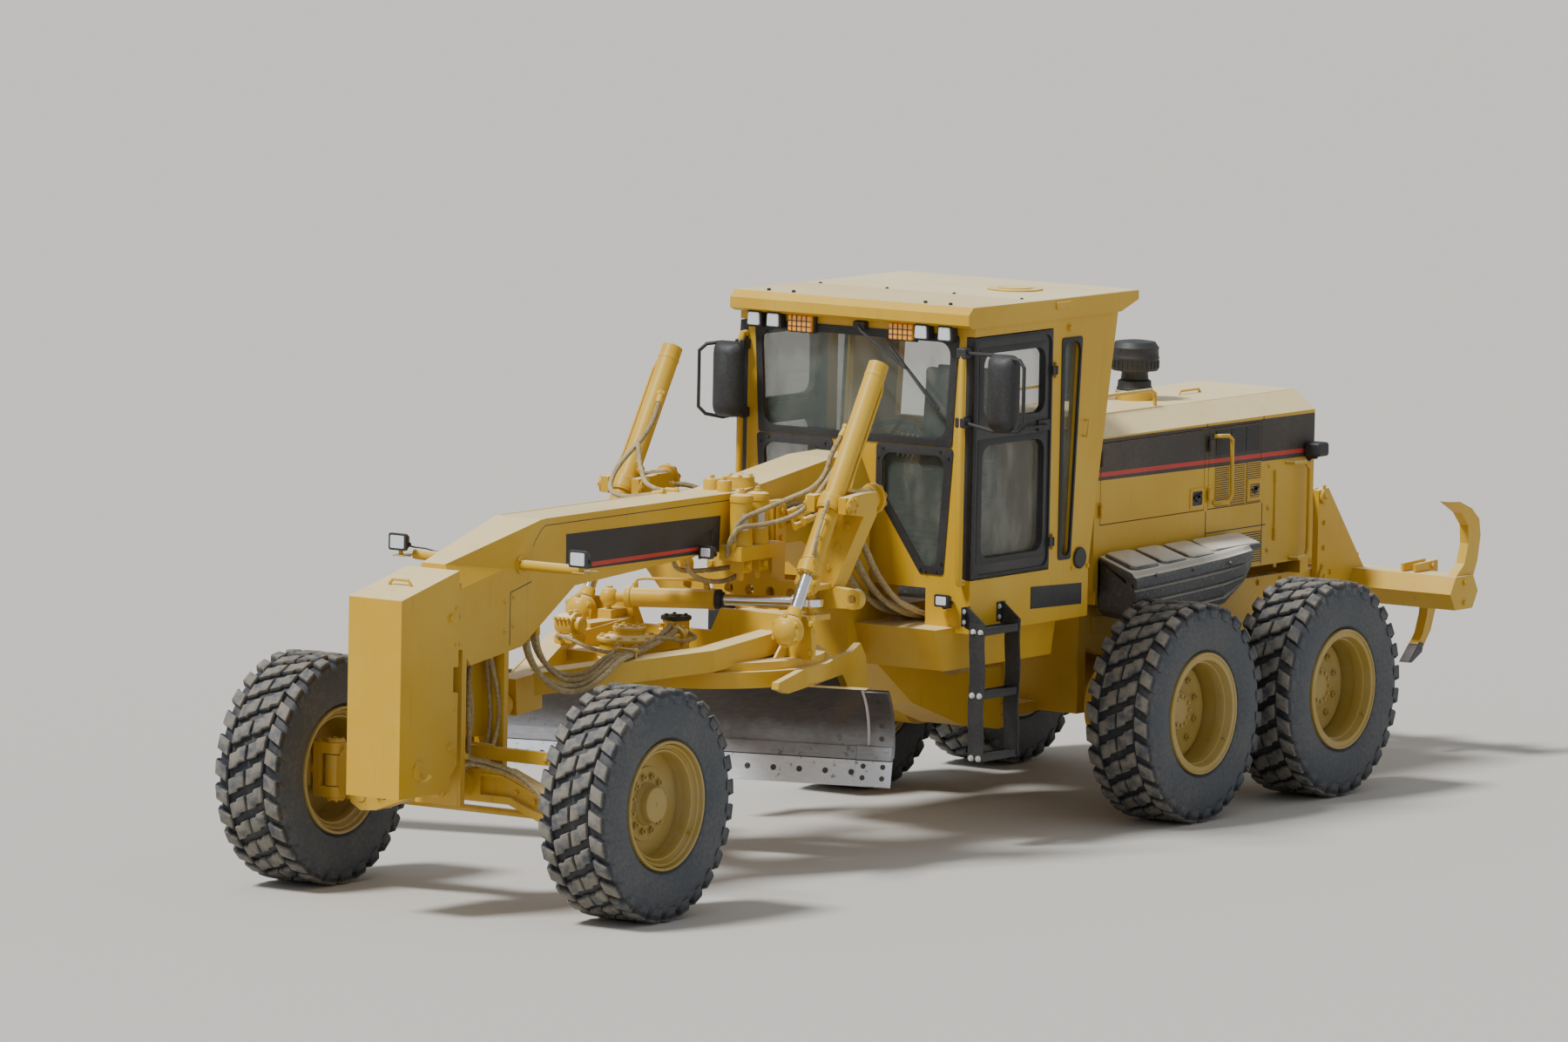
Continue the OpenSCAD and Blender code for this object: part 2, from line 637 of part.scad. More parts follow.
// The moving and the fixed half of a hinge; the door lies on the side named by way
module hinge_eye(face, x, y, way, z) {
    difference() {
        union() {
            translate([x, y, z - 25]) cylinder(h = 50, r = 10);
            block([x - 5, min(y, y + way * 40), z - 25], [x + 5, max(y, y + way * 40), z + 25]);
            block([face - 1, min(y + way * 26, y + way * 40), z - 25], [x, max(y + way * 26, y + way * 40), z + 25]);
        }
        translate([x, y, z - 26]) cylinder(h = 52, r = 5 + pin_gap);
    }
}
module hinge_stay(face, x, y, way, z) {
    translate([x, y, z - 45]) cylinder(h = 90, r = 5);
    for (end = [-45, 27]) {
        translate([x, y, z + end]) cylinder(h = 18, r = 10);
        block([face - 1, min(y - way * 10, y + way * 3), z + end], [x, max(y - way * 10, y + way * 3), z + end + 18]);
    }
}

module door_panel() {
    color(paint) difference() {
        block([cab_half - cab_wall, door_front + panel_gap, door_low + panel_gap], [cab_half, door_rear - panel_gap, door_high - panel_gap]);
        for (z = door_panes)
            block([cab_half - cab_wall - 1, door_front + 60, z[0]], [cab_half + 1, door_rear - 60, z[1]]);
    }
}
door_levels = [door_low + 160, door_high - 240];
module door_hinged() {
    door_panel();
    color(paint) for (z = door_levels) hinge_eye(cab_half, cab_half + 15, door_rear + 15, -1, z);
}
module door_left() { door_hinged(); }
module door_right() { mirror([1, 0, 0]) door_hinged(); }
module door_glass() {
    color(window) for (z = door_panes)
        block([cab_half - 35, door_front + 60 + seat_gap, z[0] + seat_gap], [cab_half - 27, door_rear - 60 - seat_gap, z[1] - seat_gap]);
}
module door_glass_left() { door_glass(); }
module door_glass_right() { mirror([1, 0, 0]) door_glass(); }

module mirrors() {
    color(dark) both_sides() {
        for (z = [cab_top - 530, cab_top - 150]) {
            block([cab_half - 80, cab_front - 40, z - 20], [cab_half - 20, cab_front - seat_gap, z + 20]);
            bar([cab_half - 50, cab_front - 20, z], [cab_half + 280, cab_front - 105, z], 14);
        }
        bar([cab_half + 280, cab_front - 105, cab_top - 540], [cab_half + 280, cab_front - 105, cab_top - 140], 14);
        block([cab_half + 200, cab_front - 165, cab_top - 530], [cab_half + 360, cab_front - 105, cab_top - 150]);
    }
}
module ladders() {
    color(dark) both_sides() {
        for (y = [3560, 3900]) block([870, y, 500], [900, y + 90, 1300]);
        for (z = [520, 860, 1240]) block([860, 3600, z], [930, 3950, z + 30]);
        for (y = [3560, 3900]) block([cab_half + seat_gap, y, 1260], [871, y + 60, 1300]);
    }
}

// Rear frame
module rear_frame() {
    color(paint) difference() {
        union() {
            for (x = [-390, 310]) side_plate([[5420, 950], [5420, 1180], [hood_rear + 20, 1180], [hood_rear + 20, 950], [7400, 860], [5700, 860]], x, x + 80);
            block([-390, 5420, 545], [390, 5500, 1181]);
            for (level = hitch_levels) translate([0, 0, level[0] == 478 ? level[1] + seat_gap : level[0] - 60 - seat_gap])
                linear_extrude(60) union() {
                    translate([0, hitch_y]) circle(r = 120);
                    translate([-120, hitch_y]) square([240, 5421 - hitch_y]);
                }
            block([-390, hood_rear + 10, 860], [390, hood_rear + 50, 1181]);
            block([-200, hood_rear + 10, 1180], [200, hood_rear + 50, 1650]);
            for (x = [-200, 155], pin = [top_pin, low_pin])
                side_plate([[hood_rear + 49, pin[1] - 80], [pin[0] + 50, pin[1] - 50], [pin[0] + 50, pin[1] + 50], [hood_rear + 49, pin[1] + 80]], x, x + 45);
            for (pin = [top_pin, low_pin]) pin_x(-156, 156, pin[0], pin[1], 25);
            block([-310, 5700, 900], [310, 5780, 1181]);
            for (x = [-385, 315]) side_plate([[wheelbase - 260, 900], [wheelbase - 210, 660], [wheelbase + 210, 660], [wheelbase + 260, 900]], x, x + 70);
        }
        translate([0, hitch_y, 400]) cylinder(h = 700, r = hitch_pin_r + pin_gap);
        pin_x(-400, 400, wheelbase, tyre_r + 20, 180 + seat_gap);
    }
}
case_x1 = rear_half_track - 260;
case_x0 = case_x1 - 210;
module tandem_cases() {
    color(paint) both_sides() {
        translate([case_x0, 0, 0]) rotate([90, 0, 90]) linear_extrude(case_x1 - case_x0) union() {
            translate([mid_y, tyre_r]) circle(r = 230);
            translate([rear_y, tyre_r]) circle(r = 230);
            translate([mid_y, tyre_r - 230]) square([tandem_pitch, 460]);
        }
        for (y = [mid_y, rear_y]) pin_x(case_x1 - 1, rear_half_track + 18, y, tyre_r, 55);
    }
    color(paint) pin_x(-case_x0 - 1, case_x0 + 1, wheelbase, tyre_r + 20, 180);
}
module engine_block() {
    color(dark) block([175 - hood_half, 5700, 1181 + seat_gap], [hood_half - 175, 7000, hood_top - 310]);
}
hood_panels = [[5467, 6635], [6635, 7258]];
door_sill = 1640;
door_head = hood_top - 140;
hood_section = [[-hood_half, 1262], [-hood_half, hood_top - 110], [135 - hood_half, hood_top], [hood_half - 135, hood_top], [hood_half, hood_top - 110], [hood_half, 1262]];
module hood() {
    color(paint) difference() {
        cross_plate(hood_section, hood_front, hood_rear);
        cross_plate([[-hood_half + hood_t, 1261], [-hood_half + hood_t, hood_top - 120], [140 - hood_half, hood_top - 30],
            [hood_half - 140, hood_top - 30], [hood_half - hood_t, hood_top - 120], [hood_half - hood_t, 1261]],
            hood_front + 40, hood_rear - 40);
        for (panel = hood_panels) block([-600, panel[0] + 20, door_sill], [600, panel[1] - 20, door_head]);
    }
    color(paint) both_sides() block([310, 5460, 1181 + seat_gap], [hood_half, 5520, 1263]);
    color(paint) both_sides() block([310, 7700, 1181 + seat_gap], [hood_half, 7790, 1263]);
    color(paint) both_sides() for (panel = hood_panels, z = panel_levels) hinge_stay(hood_half, hood_half + 14, panel[0] + 13, 1, z);
}
panel_levels = [door_sill + 90, door_head - 90];
module hood_door(panel) {
    color(paint) block([hood_half - hood_t, panel[0] + 20 + panel_gap, door_sill + panel_gap], [hood_half, panel[1] - 20 - panel_gap, door_head - panel_gap]);
    color(paint) for (z = panel_levels) hinge_eye(hood_half, hood_half + 14, panel[0] + 13, 1, z);
}
module front_hood_door_left() { hood_door(hood_panels[0]); }
module front_hood_door_right() { mirror([1, 0, 0]) hood_door(hood_panels[0]); }
module louvred_door_left() { hood_door(hood_panels[1]); }
module louvred_door_right() { mirror([1, 0, 0]) hood_door(hood_panels[1]); }

module fenders() {
    color(rubber) both_sides()
        side_plate([[5480, 1310], [5330, 1400], [5300, 1560], [5500, 1600], [6900, 1600], [6900, 1450], [6100, 1310]], hood_half + 30, rear_half_track - 110);
    color(rubber) both_sides() for (y = [5600, 6700]) block([hood_half + seat_gap, y, 1340], [hood_half + 31, y + 80, 1420]);
}
module stacks() {
    color(dark) {
        translate([0, 6575, hood_top + seat_gap]) cylinder(h = 170, r = 85);
        translate([0, 6575, hood_top + 169]) cylinder(h = 185, r = 130);
        translate([-250, 6245, hood_top + seat_gap]) cylinder(h = 680, r = 60);
    }
}

// Ripper
top_pin = [8000, 1560];
low_pin = [8000, 1080];
link_l = 400;
module ripper_link(pin, r) {
    difference() {
        union() {
            side_plate([[pin[0], pin[1] - 45], [pin[0] + link_l, pin[1] - 45], [pin[0] + link_l, pin[1] + 45], [pin[0], pin[1] + 45]], -150, 150);
            for (y = [pin[0], pin[0] + link_l]) pin_x(-150, 150, y, pin[1], 50);
        }
        for (y = [pin[0], pin[0] + link_l]) pin_x(-151, 151, y, pin[1], 25 + pin_gap);
    }
}
module ripper_upper_link() { color(paint) ripper_link(top_pin); }
module ripper_lower_link() { color(paint) ripper_link(low_pin); }
// A working shank hangs behind the beam; two more are stored upright at its ends
shank = [[8940, 1000], [8950, 1130], [9095, 1150], [9099, 1010], [9080, 850], [9030, 730], [8940, 630], [8820, 570], [8850, 620], [8940, 720], [8985, 830], [8995, 905]];
stored_shank = [[8780, 1090], [8980, 1060], [9040, 1180], [9070, 1330], [9050, 1430], [8960, 1500], [8820, 1550], [8680, 1560], [8840, 1480], [8920, 1400], [8930, 1290], [8890, 1170]];
module ripper_frame() {
    color(paint) {
        both_sides() side_plate([[low_pin[0] + link_l - 50, 1030], [low_pin[0] + link_l - 50, 1600], [low_pin[0] + link_l + 60, 1610],
            [8900, 1080], [8900, 980], [8450, 980]], 155, 195);
        side_plate([[8700, 1000], [8760, 900], [8960, 900], [9020, 1000], [8960, 1100], [8760, 1100]], -920, 920);
        for (pin = [top_pin, low_pin]) pin_x(-156, 156, pin[0] + link_l, pin[1], 25);
        for (x = [-560, 0, 560]) side_plate(shank, x - 30, x + 30);
        both_sides() side_plate(stored_shank, 840, 900);
    }
}

placed() main_frame();
placed() counterweight();
placed() lift_saddle();
placed() front_lamps();
placed() cab_base();
placed() cab_shell();
placed() cab_roof();
placed() cab_glass();
placed() cab_interior();
placed() mirrors();
placed() ladders();
placed() axle_beam();
placed() lean_bracket_left();
placed() lean_bracket_right();
placed() knuckle_left();
placed() knuckle_right();
placed() lean_bar();
placed() tie_rod_end();
placed() tie_rod();
placed() tyre_front_left();
placed() tyre_front_right();
placed() tyre_mid_left();
placed() tyre_mid_right();
placed() tyre_rear_left();
placed() tyre_rear_right();
placed() rim_front_left();
placed() rim_front_right();
placed() rim_mid_left();
placed() rim_mid_right();
placed() rim_rear_left();
placed() rim_rear_right();
placed() drawbar();
placed() turn_circle();
placed() blade_brackets();
placed() moldboard();
placed() cutting_edge();
placed() lift_barrel_left();
placed() lift_barrel_right();
placed() lift_rod_left();
placed() lift_rod_right();
placed() shift_barrel();
placed() shift_rod();
placed() rear_frame();
placed() tandem_cases();
placed() engine_block();
placed() hood();
placed() fenders();
placed() stacks();
placed() door_left();
placed() door_right();
placed() door_glass_left();
placed() door_glass_right();
placed() front_hood_door_left();
placed() front_hood_door_right();
placed() louvred_door_left();
placed() louvred_door_right();
placed() ripper_upper_link();
placed() ripper_lower_link();
placed() ripper_frame();
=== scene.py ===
import math
import bmesh
import bpy
from mathutils import Matrix, Vector


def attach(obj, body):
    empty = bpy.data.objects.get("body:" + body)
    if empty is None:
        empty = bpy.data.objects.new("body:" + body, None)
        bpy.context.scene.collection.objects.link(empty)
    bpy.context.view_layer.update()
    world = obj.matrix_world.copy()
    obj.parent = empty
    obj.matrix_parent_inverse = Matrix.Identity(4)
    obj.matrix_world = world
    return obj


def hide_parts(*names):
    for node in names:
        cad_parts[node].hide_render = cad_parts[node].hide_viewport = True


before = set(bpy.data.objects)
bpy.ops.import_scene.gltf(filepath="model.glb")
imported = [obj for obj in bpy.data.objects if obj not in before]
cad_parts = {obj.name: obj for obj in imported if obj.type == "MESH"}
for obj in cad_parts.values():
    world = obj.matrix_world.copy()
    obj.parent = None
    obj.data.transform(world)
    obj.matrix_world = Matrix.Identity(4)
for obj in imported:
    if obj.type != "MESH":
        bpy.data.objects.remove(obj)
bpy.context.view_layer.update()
print("loaded the machine's solids")

# machine places are given from the front axle: x to the left side, y to the rear, z up, in metres
origin = Vector((0.638677, -4.0875, 0.0))
sides = {"left": 1, "right": -1}


# the place at distance w along an axis, with u and v in the two other directions
def spotOn(axis, u, v, w):
    return {"x": (w, u, v), "y": (u, w, v), "z": (u, v, w)}[axis]


# the place at an angle on a circle round an axis
def around(centre, axis, radius, angle, shift=0.0):
    x, y, z = centre
    c, s = radius * math.cos(angle), radius * math.sin(angle)
    return {"x": (x + shift, y + c, z + s), "y": (x + c, y + shift, z + s), "z": (x + c, y + s, z + shift)}[axis]


def addObject(name, data):
    made = bpy.data.objects.new(name, data)
    bpy.context.scene.collection.objects.link(made)
    return made


def rect(u0, v0, u1, v1):
    return [(u0, v0), (u1, v0), (u1, v1), (u0, v1)]


# each corner of an outline with the normals of its two edges, which point out
def cornerNormals(points):
    n = len(points)
    area = sum(points[i - 1][0] * points[i][1] - points[i][0] * points[i - 1][1] for i in range(n))
    turn = -1 if area > 0 else 1
    for i in range(n):
        a, b, c = (Vector(points[j % n]) for j in (i - 1, i, i + 1))
        d1, d2 = (b - a).normalized(), (c - b).normalized()
        yield b, Vector((-d1.y, d1.x)) * turn, Vector((-d2.y, d2.x)) * turn


# a closed outline with eased corners, grown outwards by an amount
def eased(points, corner, grow=0.0, steps=6):
    moved = [b + (n1 + n2) * grow * 2 / (n1 + n2).length_squared for b, n1, n2 in cornerNormals(points)]
    out = []
    for i, b in enumerate(moved):
        a, c = moved[i - 1], moved[(i + 1) % len(moved)]
        d1, d2 = (a - b).normalized(), (c - b).normalized()
        half = math.acos(max(-1, min(1, d1.dot(d2)))) / 2
        back = min(corner / math.tan(half), (a - b).length * 0.45, (c - b).length * 0.45)
        r = back * math.tan(half)
        mid = b + (d1 + d2).normalized() * (r / math.sin(half))
        v0, v1 = b + d1 * back - mid, b + d2 * back - mid
        t0, t1 = math.atan2(v0.y, v0.x), math.atan2(v1.y, v1.x)
        t1 -= 2 * math.pi * round((t1 - t0) / (2 * math.pi))
        for k in range(steps + 1):
            t = t0 + (t1 - t0) * k / steps
            out.append((mid.x + r * math.cos(t), mid.y + r * math.sin(t)))
    return out


# the camera of the photograph, in the machine's own places
view = {"place": (36.759, -51.089, 9.049), "yaw": 34.227, "pitch": 6.298, "roll": 1.097, "focal": 13431.3, "wide": 1800}


def makeCamera():
    yaw, pitch, roll = (math.radians(view[k]) for k in ("yaw", "pitch", "roll"))
    right = Vector((math.cos(yaw), math.sin(yaw), 0))
    back = Vector((math.sin(yaw) * math.cos(pitch), -math.cos(yaw) * math.cos(pitch), math.sin(pitch)))
    up = back.cross(right)
    side = right * math.cos(roll) + up * math.sin(roll)
    top = up * math.cos(roll) - right * math.sin(roll)
    data = bpy.data.cameras.new("camera")
    data.sensor_width = 36
    data.lens = 36 * view["focal"] / view["wide"]
    data.clip_end = 400
    data.clip_start = 1
    camera = addObject("camera", data)
    camera.matrix_world = Matrix.Translation(Vector(view["place"]) + origin) @ Matrix((side, top, back)).transposed().to_4x4()
    bpy.context.scene.camera = camera


makeCamera()


# one socket of a material, so that sums can be written as sums
class Wire:
    def __init__(self, look, socket):
        self.look, self.socket = look, socket

    def maths(self, operation, *values):
        return self.look.node("ShaderNodeMath", {"operation": operation}, dict(enumerate(values)))[0]

    def __add__(self, other): return self.maths("ADD", self, other)
    def __radd__(self, other): return self.maths("ADD", other, self)
    def __sub__(self, other): return self.maths("SUBTRACT", self, other)
    def __rsub__(self, other): return self.maths("SUBTRACT", other, self)
    def __mul__(self, other): return self.maths("MULTIPLY", self, other)
    def __rmul__(self, other): return self.maths("MULTIPLY", other, self)
    def __truediv__(self, other): return self.maths("DIVIDE", self, other)
    def __pow__(self, other): return self.maths("POWER", self, other)
    def __abs__(self): return self.maths("ABSOLUTE", self)
    def clamp(self): return self.look.node("ShaderNodeClamp", {}, {0: self})[0]

    def above(self, low, high):
        spread = {0: self, 1: low, 2: high, 3: 0.0, 4: 1.0}
        return self.look.node("ShaderNodeMapRange", {"interpolation_type": "SMOOTHSTEP"}, spread)[0]


# a material that is built node by node
class Look:
    def __init__(self, name):
        self.material = bpy.data.materials.new(name)
        self.material.use_nodes = True
        self.tree = self.material.node_tree
        self.shader = self.tree.nodes["Principled BSDF"]

    def node(self, kind, settings, sockets):
        made = self.tree.nodes.new(kind)
        for key, value in settings.items():
            setattr(made, key, value)
        for key, value in sockets.items():
            if isinstance(value, Wire):
                self.tree.links.new(value.socket, made.inputs[key])
            else:
                made.inputs[key].default_value = value
        return [Wire(self, s) for s in made.outputs]

    def place(self):
        return self.node("ShaderNodeTexCoord", {}, {})[3]

    # the three values of a place, or of a direction
    def axes(self, vector=None):
        return self.node("ShaderNodeSeparateXYZ", {}, {0: vector or self.place()})

    # how far a face looks up
    def upward(self, low, high):
        return self.axes(self.node("ShaderNodeNewGeometry", {}, {})[3])[2].above(low, high)

    def noise(self, scale, detail=4, rough=0.55, stretch=None):
        spot = self.place()
        if stretch:
            spot = self.node("ShaderNodeMapping", {}, {0: spot, 3: stretch})[0]
        return self.node("ShaderNodeTexNoise", {}, {"Vector": spot, "Scale": scale, "Detail": detail, "Roughness": rough})[0]

    def mix(self, share, first, second):
        return self.node("ShaderNodeMix", {"data_type": "RGBA"}, {0: share, 6: first, 7: second})[2]

    def set(self, **values):
        names = {"colour": "Base Color", "rough": "Roughness", "metal": "Metallic", "coat": "Coat Weight", "alpha": "Alpha",
                 "glow": "Emission Color", "normal": "Normal", "coatRough": "Coat Roughness", "ior": "IOR",
                 "glowPower": "Emission Strength", "specular": "Specular IOR Level"}
        for key, value in values.items():
            socket = self.shader.inputs[names[key]]
            if isinstance(value, Wire):
                self.tree.links.new(value.socket, socket)
            else:
                socket.default_value = value
        return self

    def bump(self, height, strength, distance):
        self.set(normal=self.node("ShaderNodeBump", {}, {"Height": height, "Strength": strength, "Distance": distance})[0])
        return self


# plain studio round the machine
studio = {"floor": 90, "floorTint": (0.54, 0.52, 0.475, 1), "sky": (0.93, 0.95, 1.0), "skyPower": 0.53, "sun": 4.1,
          "sunTilt": (33, 0, -28), "sunSize": 12}


def makeStudio():
    world = bpy.data.worlds.new("studio")
    bpy.context.scene.world = world
    world.use_nodes = True
    sky = world.node_tree.nodes["Background"].inputs
    sky[0].default_value = (*studio["sky"], 1)
    sky[1].default_value = studio["skyPower"]
    sun = bpy.data.lights.new("sun", "SUN")
    sun.energy = studio["sun"]
    sun.angle = math.radians(studio["sunSize"])
    addObject("sun", sun).rotation_euler = [math.radians(a) for a in studio["sunTilt"]]
    mesh = bpy.data.meshes.new("floor")
    w = studio["floor"]
    mesh.from_pydata([(*spot, 0) for spot in rect(-w, -w, w, w)], [], [(0, 1, 2, 3)])
    mesh.materials.append(Look("floor").set(colour=studio["floorTint"], rough=0.9).material)
    addObject("floor", mesh)


makeStudio()
print("camera and studio are set")


# painted steel: fine orange peel, tops lightened with painted sunlight, dust low down and in patches; tints when fresh,
# faded, grimy and dusty
paints = {
    "yellow": ((0.6, 0.355, 0.02, 1), (0.65, 0.41, 0.035, 1), (0.24, 0.155, 0.045, 1), (0.46, 0.36, 0.2, 1)),
    "pale": ((0.8, 0.62, 0.27, 1), (0.88, 0.74, 0.42, 1), (0.36, 0.27, 0.12, 1), (0.55, 0.47, 0.33, 1)),
    "black": ((0.022, 0.022, 0.024, 1), (0.04, 0.04, 0.042, 1), (0.015, 0.014, 0.013, 1), (0.16, 0.14, 0.115, 1)),
    "rim": ((0.38, 0.26, 0.05, 1), (0.44, 0.33, 0.11, 1), (0.19, 0.14, 0.06, 1), (0.36, 0.29, 0.18, 1)),
    "red": ((0.52, 0.03, 0.025, 1), (0.58, 0.06, 0.05, 1), (0.2, 0.02, 0.02, 1), (0.35, 0.2, 0.16, 1)),
}
# light cream that upward faces are mixed towards: painted sunlight on the tops
sunlitTopTint = (0.92, 0.8, 0.48, 1)


# cloud, fine grain, dust and grime, as all paints have them; the last two gather low on the machine
def paintLayers(look, up):
    cloud, fine = look.noise(1.7, 5), look.noise(38, 4)
    streak = look.noise(2.2, 6, 0.6, stretch=(9, 9, 0.9))
    low = 1 - up.above(0.25, 1.5)
    dust = ((cloud * 0.55 + fine * 0.45).above(0.44, 0.72) * (low * 0.55 + 0.1)).clamp()
    grime = (streak.above(0.56, 0.78) * (0.22 + low * 0.3)).clamp()
    return cloud, fine, dust, grime


def finishPaint(look, body, rough, fine, dust):
    look.set(colour=body, rough=rough.clamp(), coat=(0.1 - dust * 0.1).clamp(), coatRough=0.25, specular=0.3)
    return look.bump(look.noise(420, 2) * 0.5 + fine * dust * 1.5, 0.12, 0.0015).material


def makePaint(kind):
    fresh, faded, grimy, dusty = paints[kind]
    look = Look("paint_" + kind)
    cloud, fine, dust, grime = paintLayers(look, look.axes()[2])
    body = look.mix(cloud.above(0.35, 0.7), fresh, faded)
    if kind in ("yellow", "pale"):
        # upward faces of yellow and pale paint are lightened with painted sunlight
        body = look.mix(look.upward(0.7, 1.0) * (0.45 + cloud * 0.4), body, sunlitTopTint)
    body = look.mix(dust, look.mix(grime, body, grimy), dusty)
    return finishPaint(look, body, 0.4 + dust * 0.4 + fine * 0.08, fine, dust)


# dark band with a red line along the hood's sides; its edges fall a little to the rear
hoodBand = {"side": 0.4735, "front": 5.46, "low": 1.903, "lowFall": -0.0125, "top": 2.142, "topFall": -0.0054, "line": 1.9365,
            "lineFall": -0.0105, "lineHalf": 0.0125, "dark": (0.04, 0.034, 0.03, 1), "worn": (0.062, 0.052, 0.045, 1)}


def makeBandedPaint():
    look = Look("paint_banded")
    b = hoodBand
    x, y, up = look.axes()
    along = y - (origin.y + b["front"])
    side = abs(x - origin.x).above(b["side"] - 0.0015, b["side"])

    def over(edge):
        return (up - along * b[edge + "Fall"]).above(b[edge] - 0.001, b[edge] + 0.001)
    inBand = over("low") * (1 - over("top")) * side
    inLine = (1 - abs(up - along * b["lineFall"] - b["line"]).above(b["lineHalf"] - 0.001, b["lineHalf"] + 0.001)) * side
    cloud, fine, dust, grime = paintLayers(look, up)
    fresh, faded, grimy, dusty = paints["yellow"]
    body = look.mix(cloud.above(0.35, 0.7), fresh, faded)
    # upward faces turn to pale paint mixed with the painted sunlight of the tops
    body = look.mix(look.upward(0.3, 0.8), body, look.mix(cloud, paints["pale"][0], sunlitTopTint))
    body = look.mix(grime, body, grimy)
    body = look.mix(inBand, body, look.mix(cloud, b["dark"], b["worn"]))
    body = look.mix(inLine, body, look.mix(cloud, *paints["red"][:2]))
    body = look.mix(dust, body, dusty)
    return finishPaint(look, body, 0.4 + dust * 0.4 + fine * 0.08 + inBand * 0.12, fine, dust)


# blocks out at the tread's radius are dusty; the grooves under them are darkened with painted shade
rubber = {"dark": (0.022, 0.025, 0.032, 1), "wall": (0.042, 0.05, 0.061, 1), "worn": (0.07, 0.08, 0.095, 1),
          "dust": (0.22, 0.198, 0.16, 1), "axles": (0.0, 5.3385, 6.8615), "height": 0.635}


def makeRubber():
    look = Look("tyre_rubber")
    x, y, z = look.axes()
    up = z - rubber["height"]
    reach = None
    for axle in rubber["axles"]:
        along = y - (origin.y + axle)
        r = (along * along + up * up) ** 0.5
        reach = r if reach is None else reach.maths("MINIMUM", reach, r)
    fine, cloud, crumb = look.noise(45, 5), look.noise(4, 5), look.noise(16, 6)
    tread = reach.above(0.611, 0.624)
    # painted shade: the grooves and the blocks' sides take the dark tint
    grooveShade = reach.above(0.588, 0.597) * (1 - tread)
    dust = ((cloud * 0.5 + fine * 0.5).above(0.42, 0.72) * 0.3 + tread * crumb.above(0.3, 0.62) * 0.8).clamp()
    body = look.mix(fine, rubber["wall"], rubber["worn"])
    body = look.mix(grooveShade, body, rubber["dark"])
    look.set(colour=look.mix(dust, body, rubber["dust"]), rough=(0.6 + dust * 0.35).clamp())
    return look.bump(fine + crumb * tread, 0.35, 0.003).material


def makeSteel(name, dark, bright, roughness, rustShare):
    look = Look(name)
    streak = look.noise(60, 4, 0.6, stretch=(0.08, 1, 1))
    patch = look.noise(5, 6)
    rust = patch.above(0.52, 0.74) * rustShare
    tone = look.mix(rust, look.mix(streak, dark, bright), (0.13, 0.075, 0.045, 1))
    look.set(colour=tone, rough=(roughness + streak * 0.15 + rust * 0.3).clamp(), metal=(0.95 - rust * 0.8).clamp())
    return look.bump(streak, 0.2, 0.0008).material


# the blade's face: bright steel towards its foot, brown above; a dark joint over the edge
def makeBladeSteel(name, joint):
    look = Look(name)
    height = look.axes()[2]
    streak = look.noise(60, 4, 0.6, stretch=(0.08, 1, 1))
    patch, spatter = look.noise(5, 6), look.noise(22, 5)
    towardsFoot = 1 - (height + patch * 0.16).above(0.68, 0.9)
    tone = look.mix(streak, (0.05, 0.043, 0.038, 1), (0.13, 0.115, 0.105, 1))
    tone = look.mix(towardsFoot, tone, look.mix(streak, (0.25, 0.255, 0.27, 1), (0.44, 0.45, 0.475, 1)))
    rust = patch.above(0.5, 0.74) * (0.45 - towardsFoot * 0.35)
    mud = spatter.above(0.6, 0.68) * towardsFoot * 0.6
    if joint:
        edge = 1 - height.above(joint - 0.002, joint + 0.002)
        tone = look.mix(edge, tone, look.mix(streak, (0.66, 0.69, 0.75, 1), (0.9, 0.93, 0.98, 1)))
        tone = look.mix(1 - abs(height - joint).above(0.002, 0.004), tone, (0.03, 0.028, 0.026, 1))
    tone = look.mix(rust, tone, (0.13, 0.08, 0.05, 1))
    tone = look.mix(mud, tone, (0.11, 0.09, 0.07, 1))
    rough = (0.34 + streak * 0.15 + rust * 0.3 + mud * 0.4).clamp()
    look.set(colour=tone, rough=rough, metal=(0.5 - rust * 0.4 - mud * 0.5).clamp())
    return look.bump(streak + mud, 0.2, 0.0012).material


def makePlain(name, tint, second, roughness, metal=0.0, grain=90, strength=0.25):
    look = Look(name)
    fine = look.noise(grain, 4)
    cloud = look.noise(3, 4)
    colour = look.mix((fine * 0.5 + cloud * 0.5).above(0.35, 0.7), tint, second)
    look.set(colour=colour, rough=(roughness + fine * 0.15).clamp(), metal=metal)
    return look.bump(fine, strength, 0.0012).material


# moulded plastic, dusty where it looks up
def makeFenderLook():
    look = Look("fender_plastic")
    tops = look.upward(0.35, 0.95)
    fine, cloud = look.noise(50, 4), look.noise(4, 5)
    dust = (tops * (0.6 + cloud * 0.4) + fine.above(0.5, 0.8) * 0.16).clamp()
    body = look.mix(cloud, (0.05, 0.052, 0.056, 1), (0.085, 0.088, 0.093, 1))
    look.set(colour=look.mix(dust, body, (0.8, 0.76, 0.64, 1)), rough=(0.5 + dust * 0.4).clamp())
    return look.bump(fine, 0.25, 0.0015).material


def makeGlass():
    look = Look("cab_window")
    smear = look.noise(6, 5, stretch=(1, 1, 0.4)).above(0.45, 0.8)
    colour = look.mix(smear, (0.12, 0.15, 0.135, 1), (0.26, 0.27, 0.23, 1))
    look.set(colour=colour, rough=(0.04 + smear * 0.12).clamp(), ior=1.5, specular=0.6, alpha=(0.34 + smear * 0.16).clamp())
    return look.material


def makeLamp(name, tint, glow):
    look = Look(name)
    kind = {"wave_type": "BANDS", "bands_direction": "X"}
    ribs = look.node("ShaderNodeTexWave", kind, {"Vector": look.place(), "Scale": 34.0, "Distortion": 0.4})[1]
    bright = [min(1, c * 1.5) for c in tint]
    look.set(colour=look.mix(ribs, tint, bright), rough=(0.12 + ribs * 0.1).clamp(), coat=0.6, glow=glow, glowPower=0.15)
    return look.bump(ribs, 0.4, 0.002).material


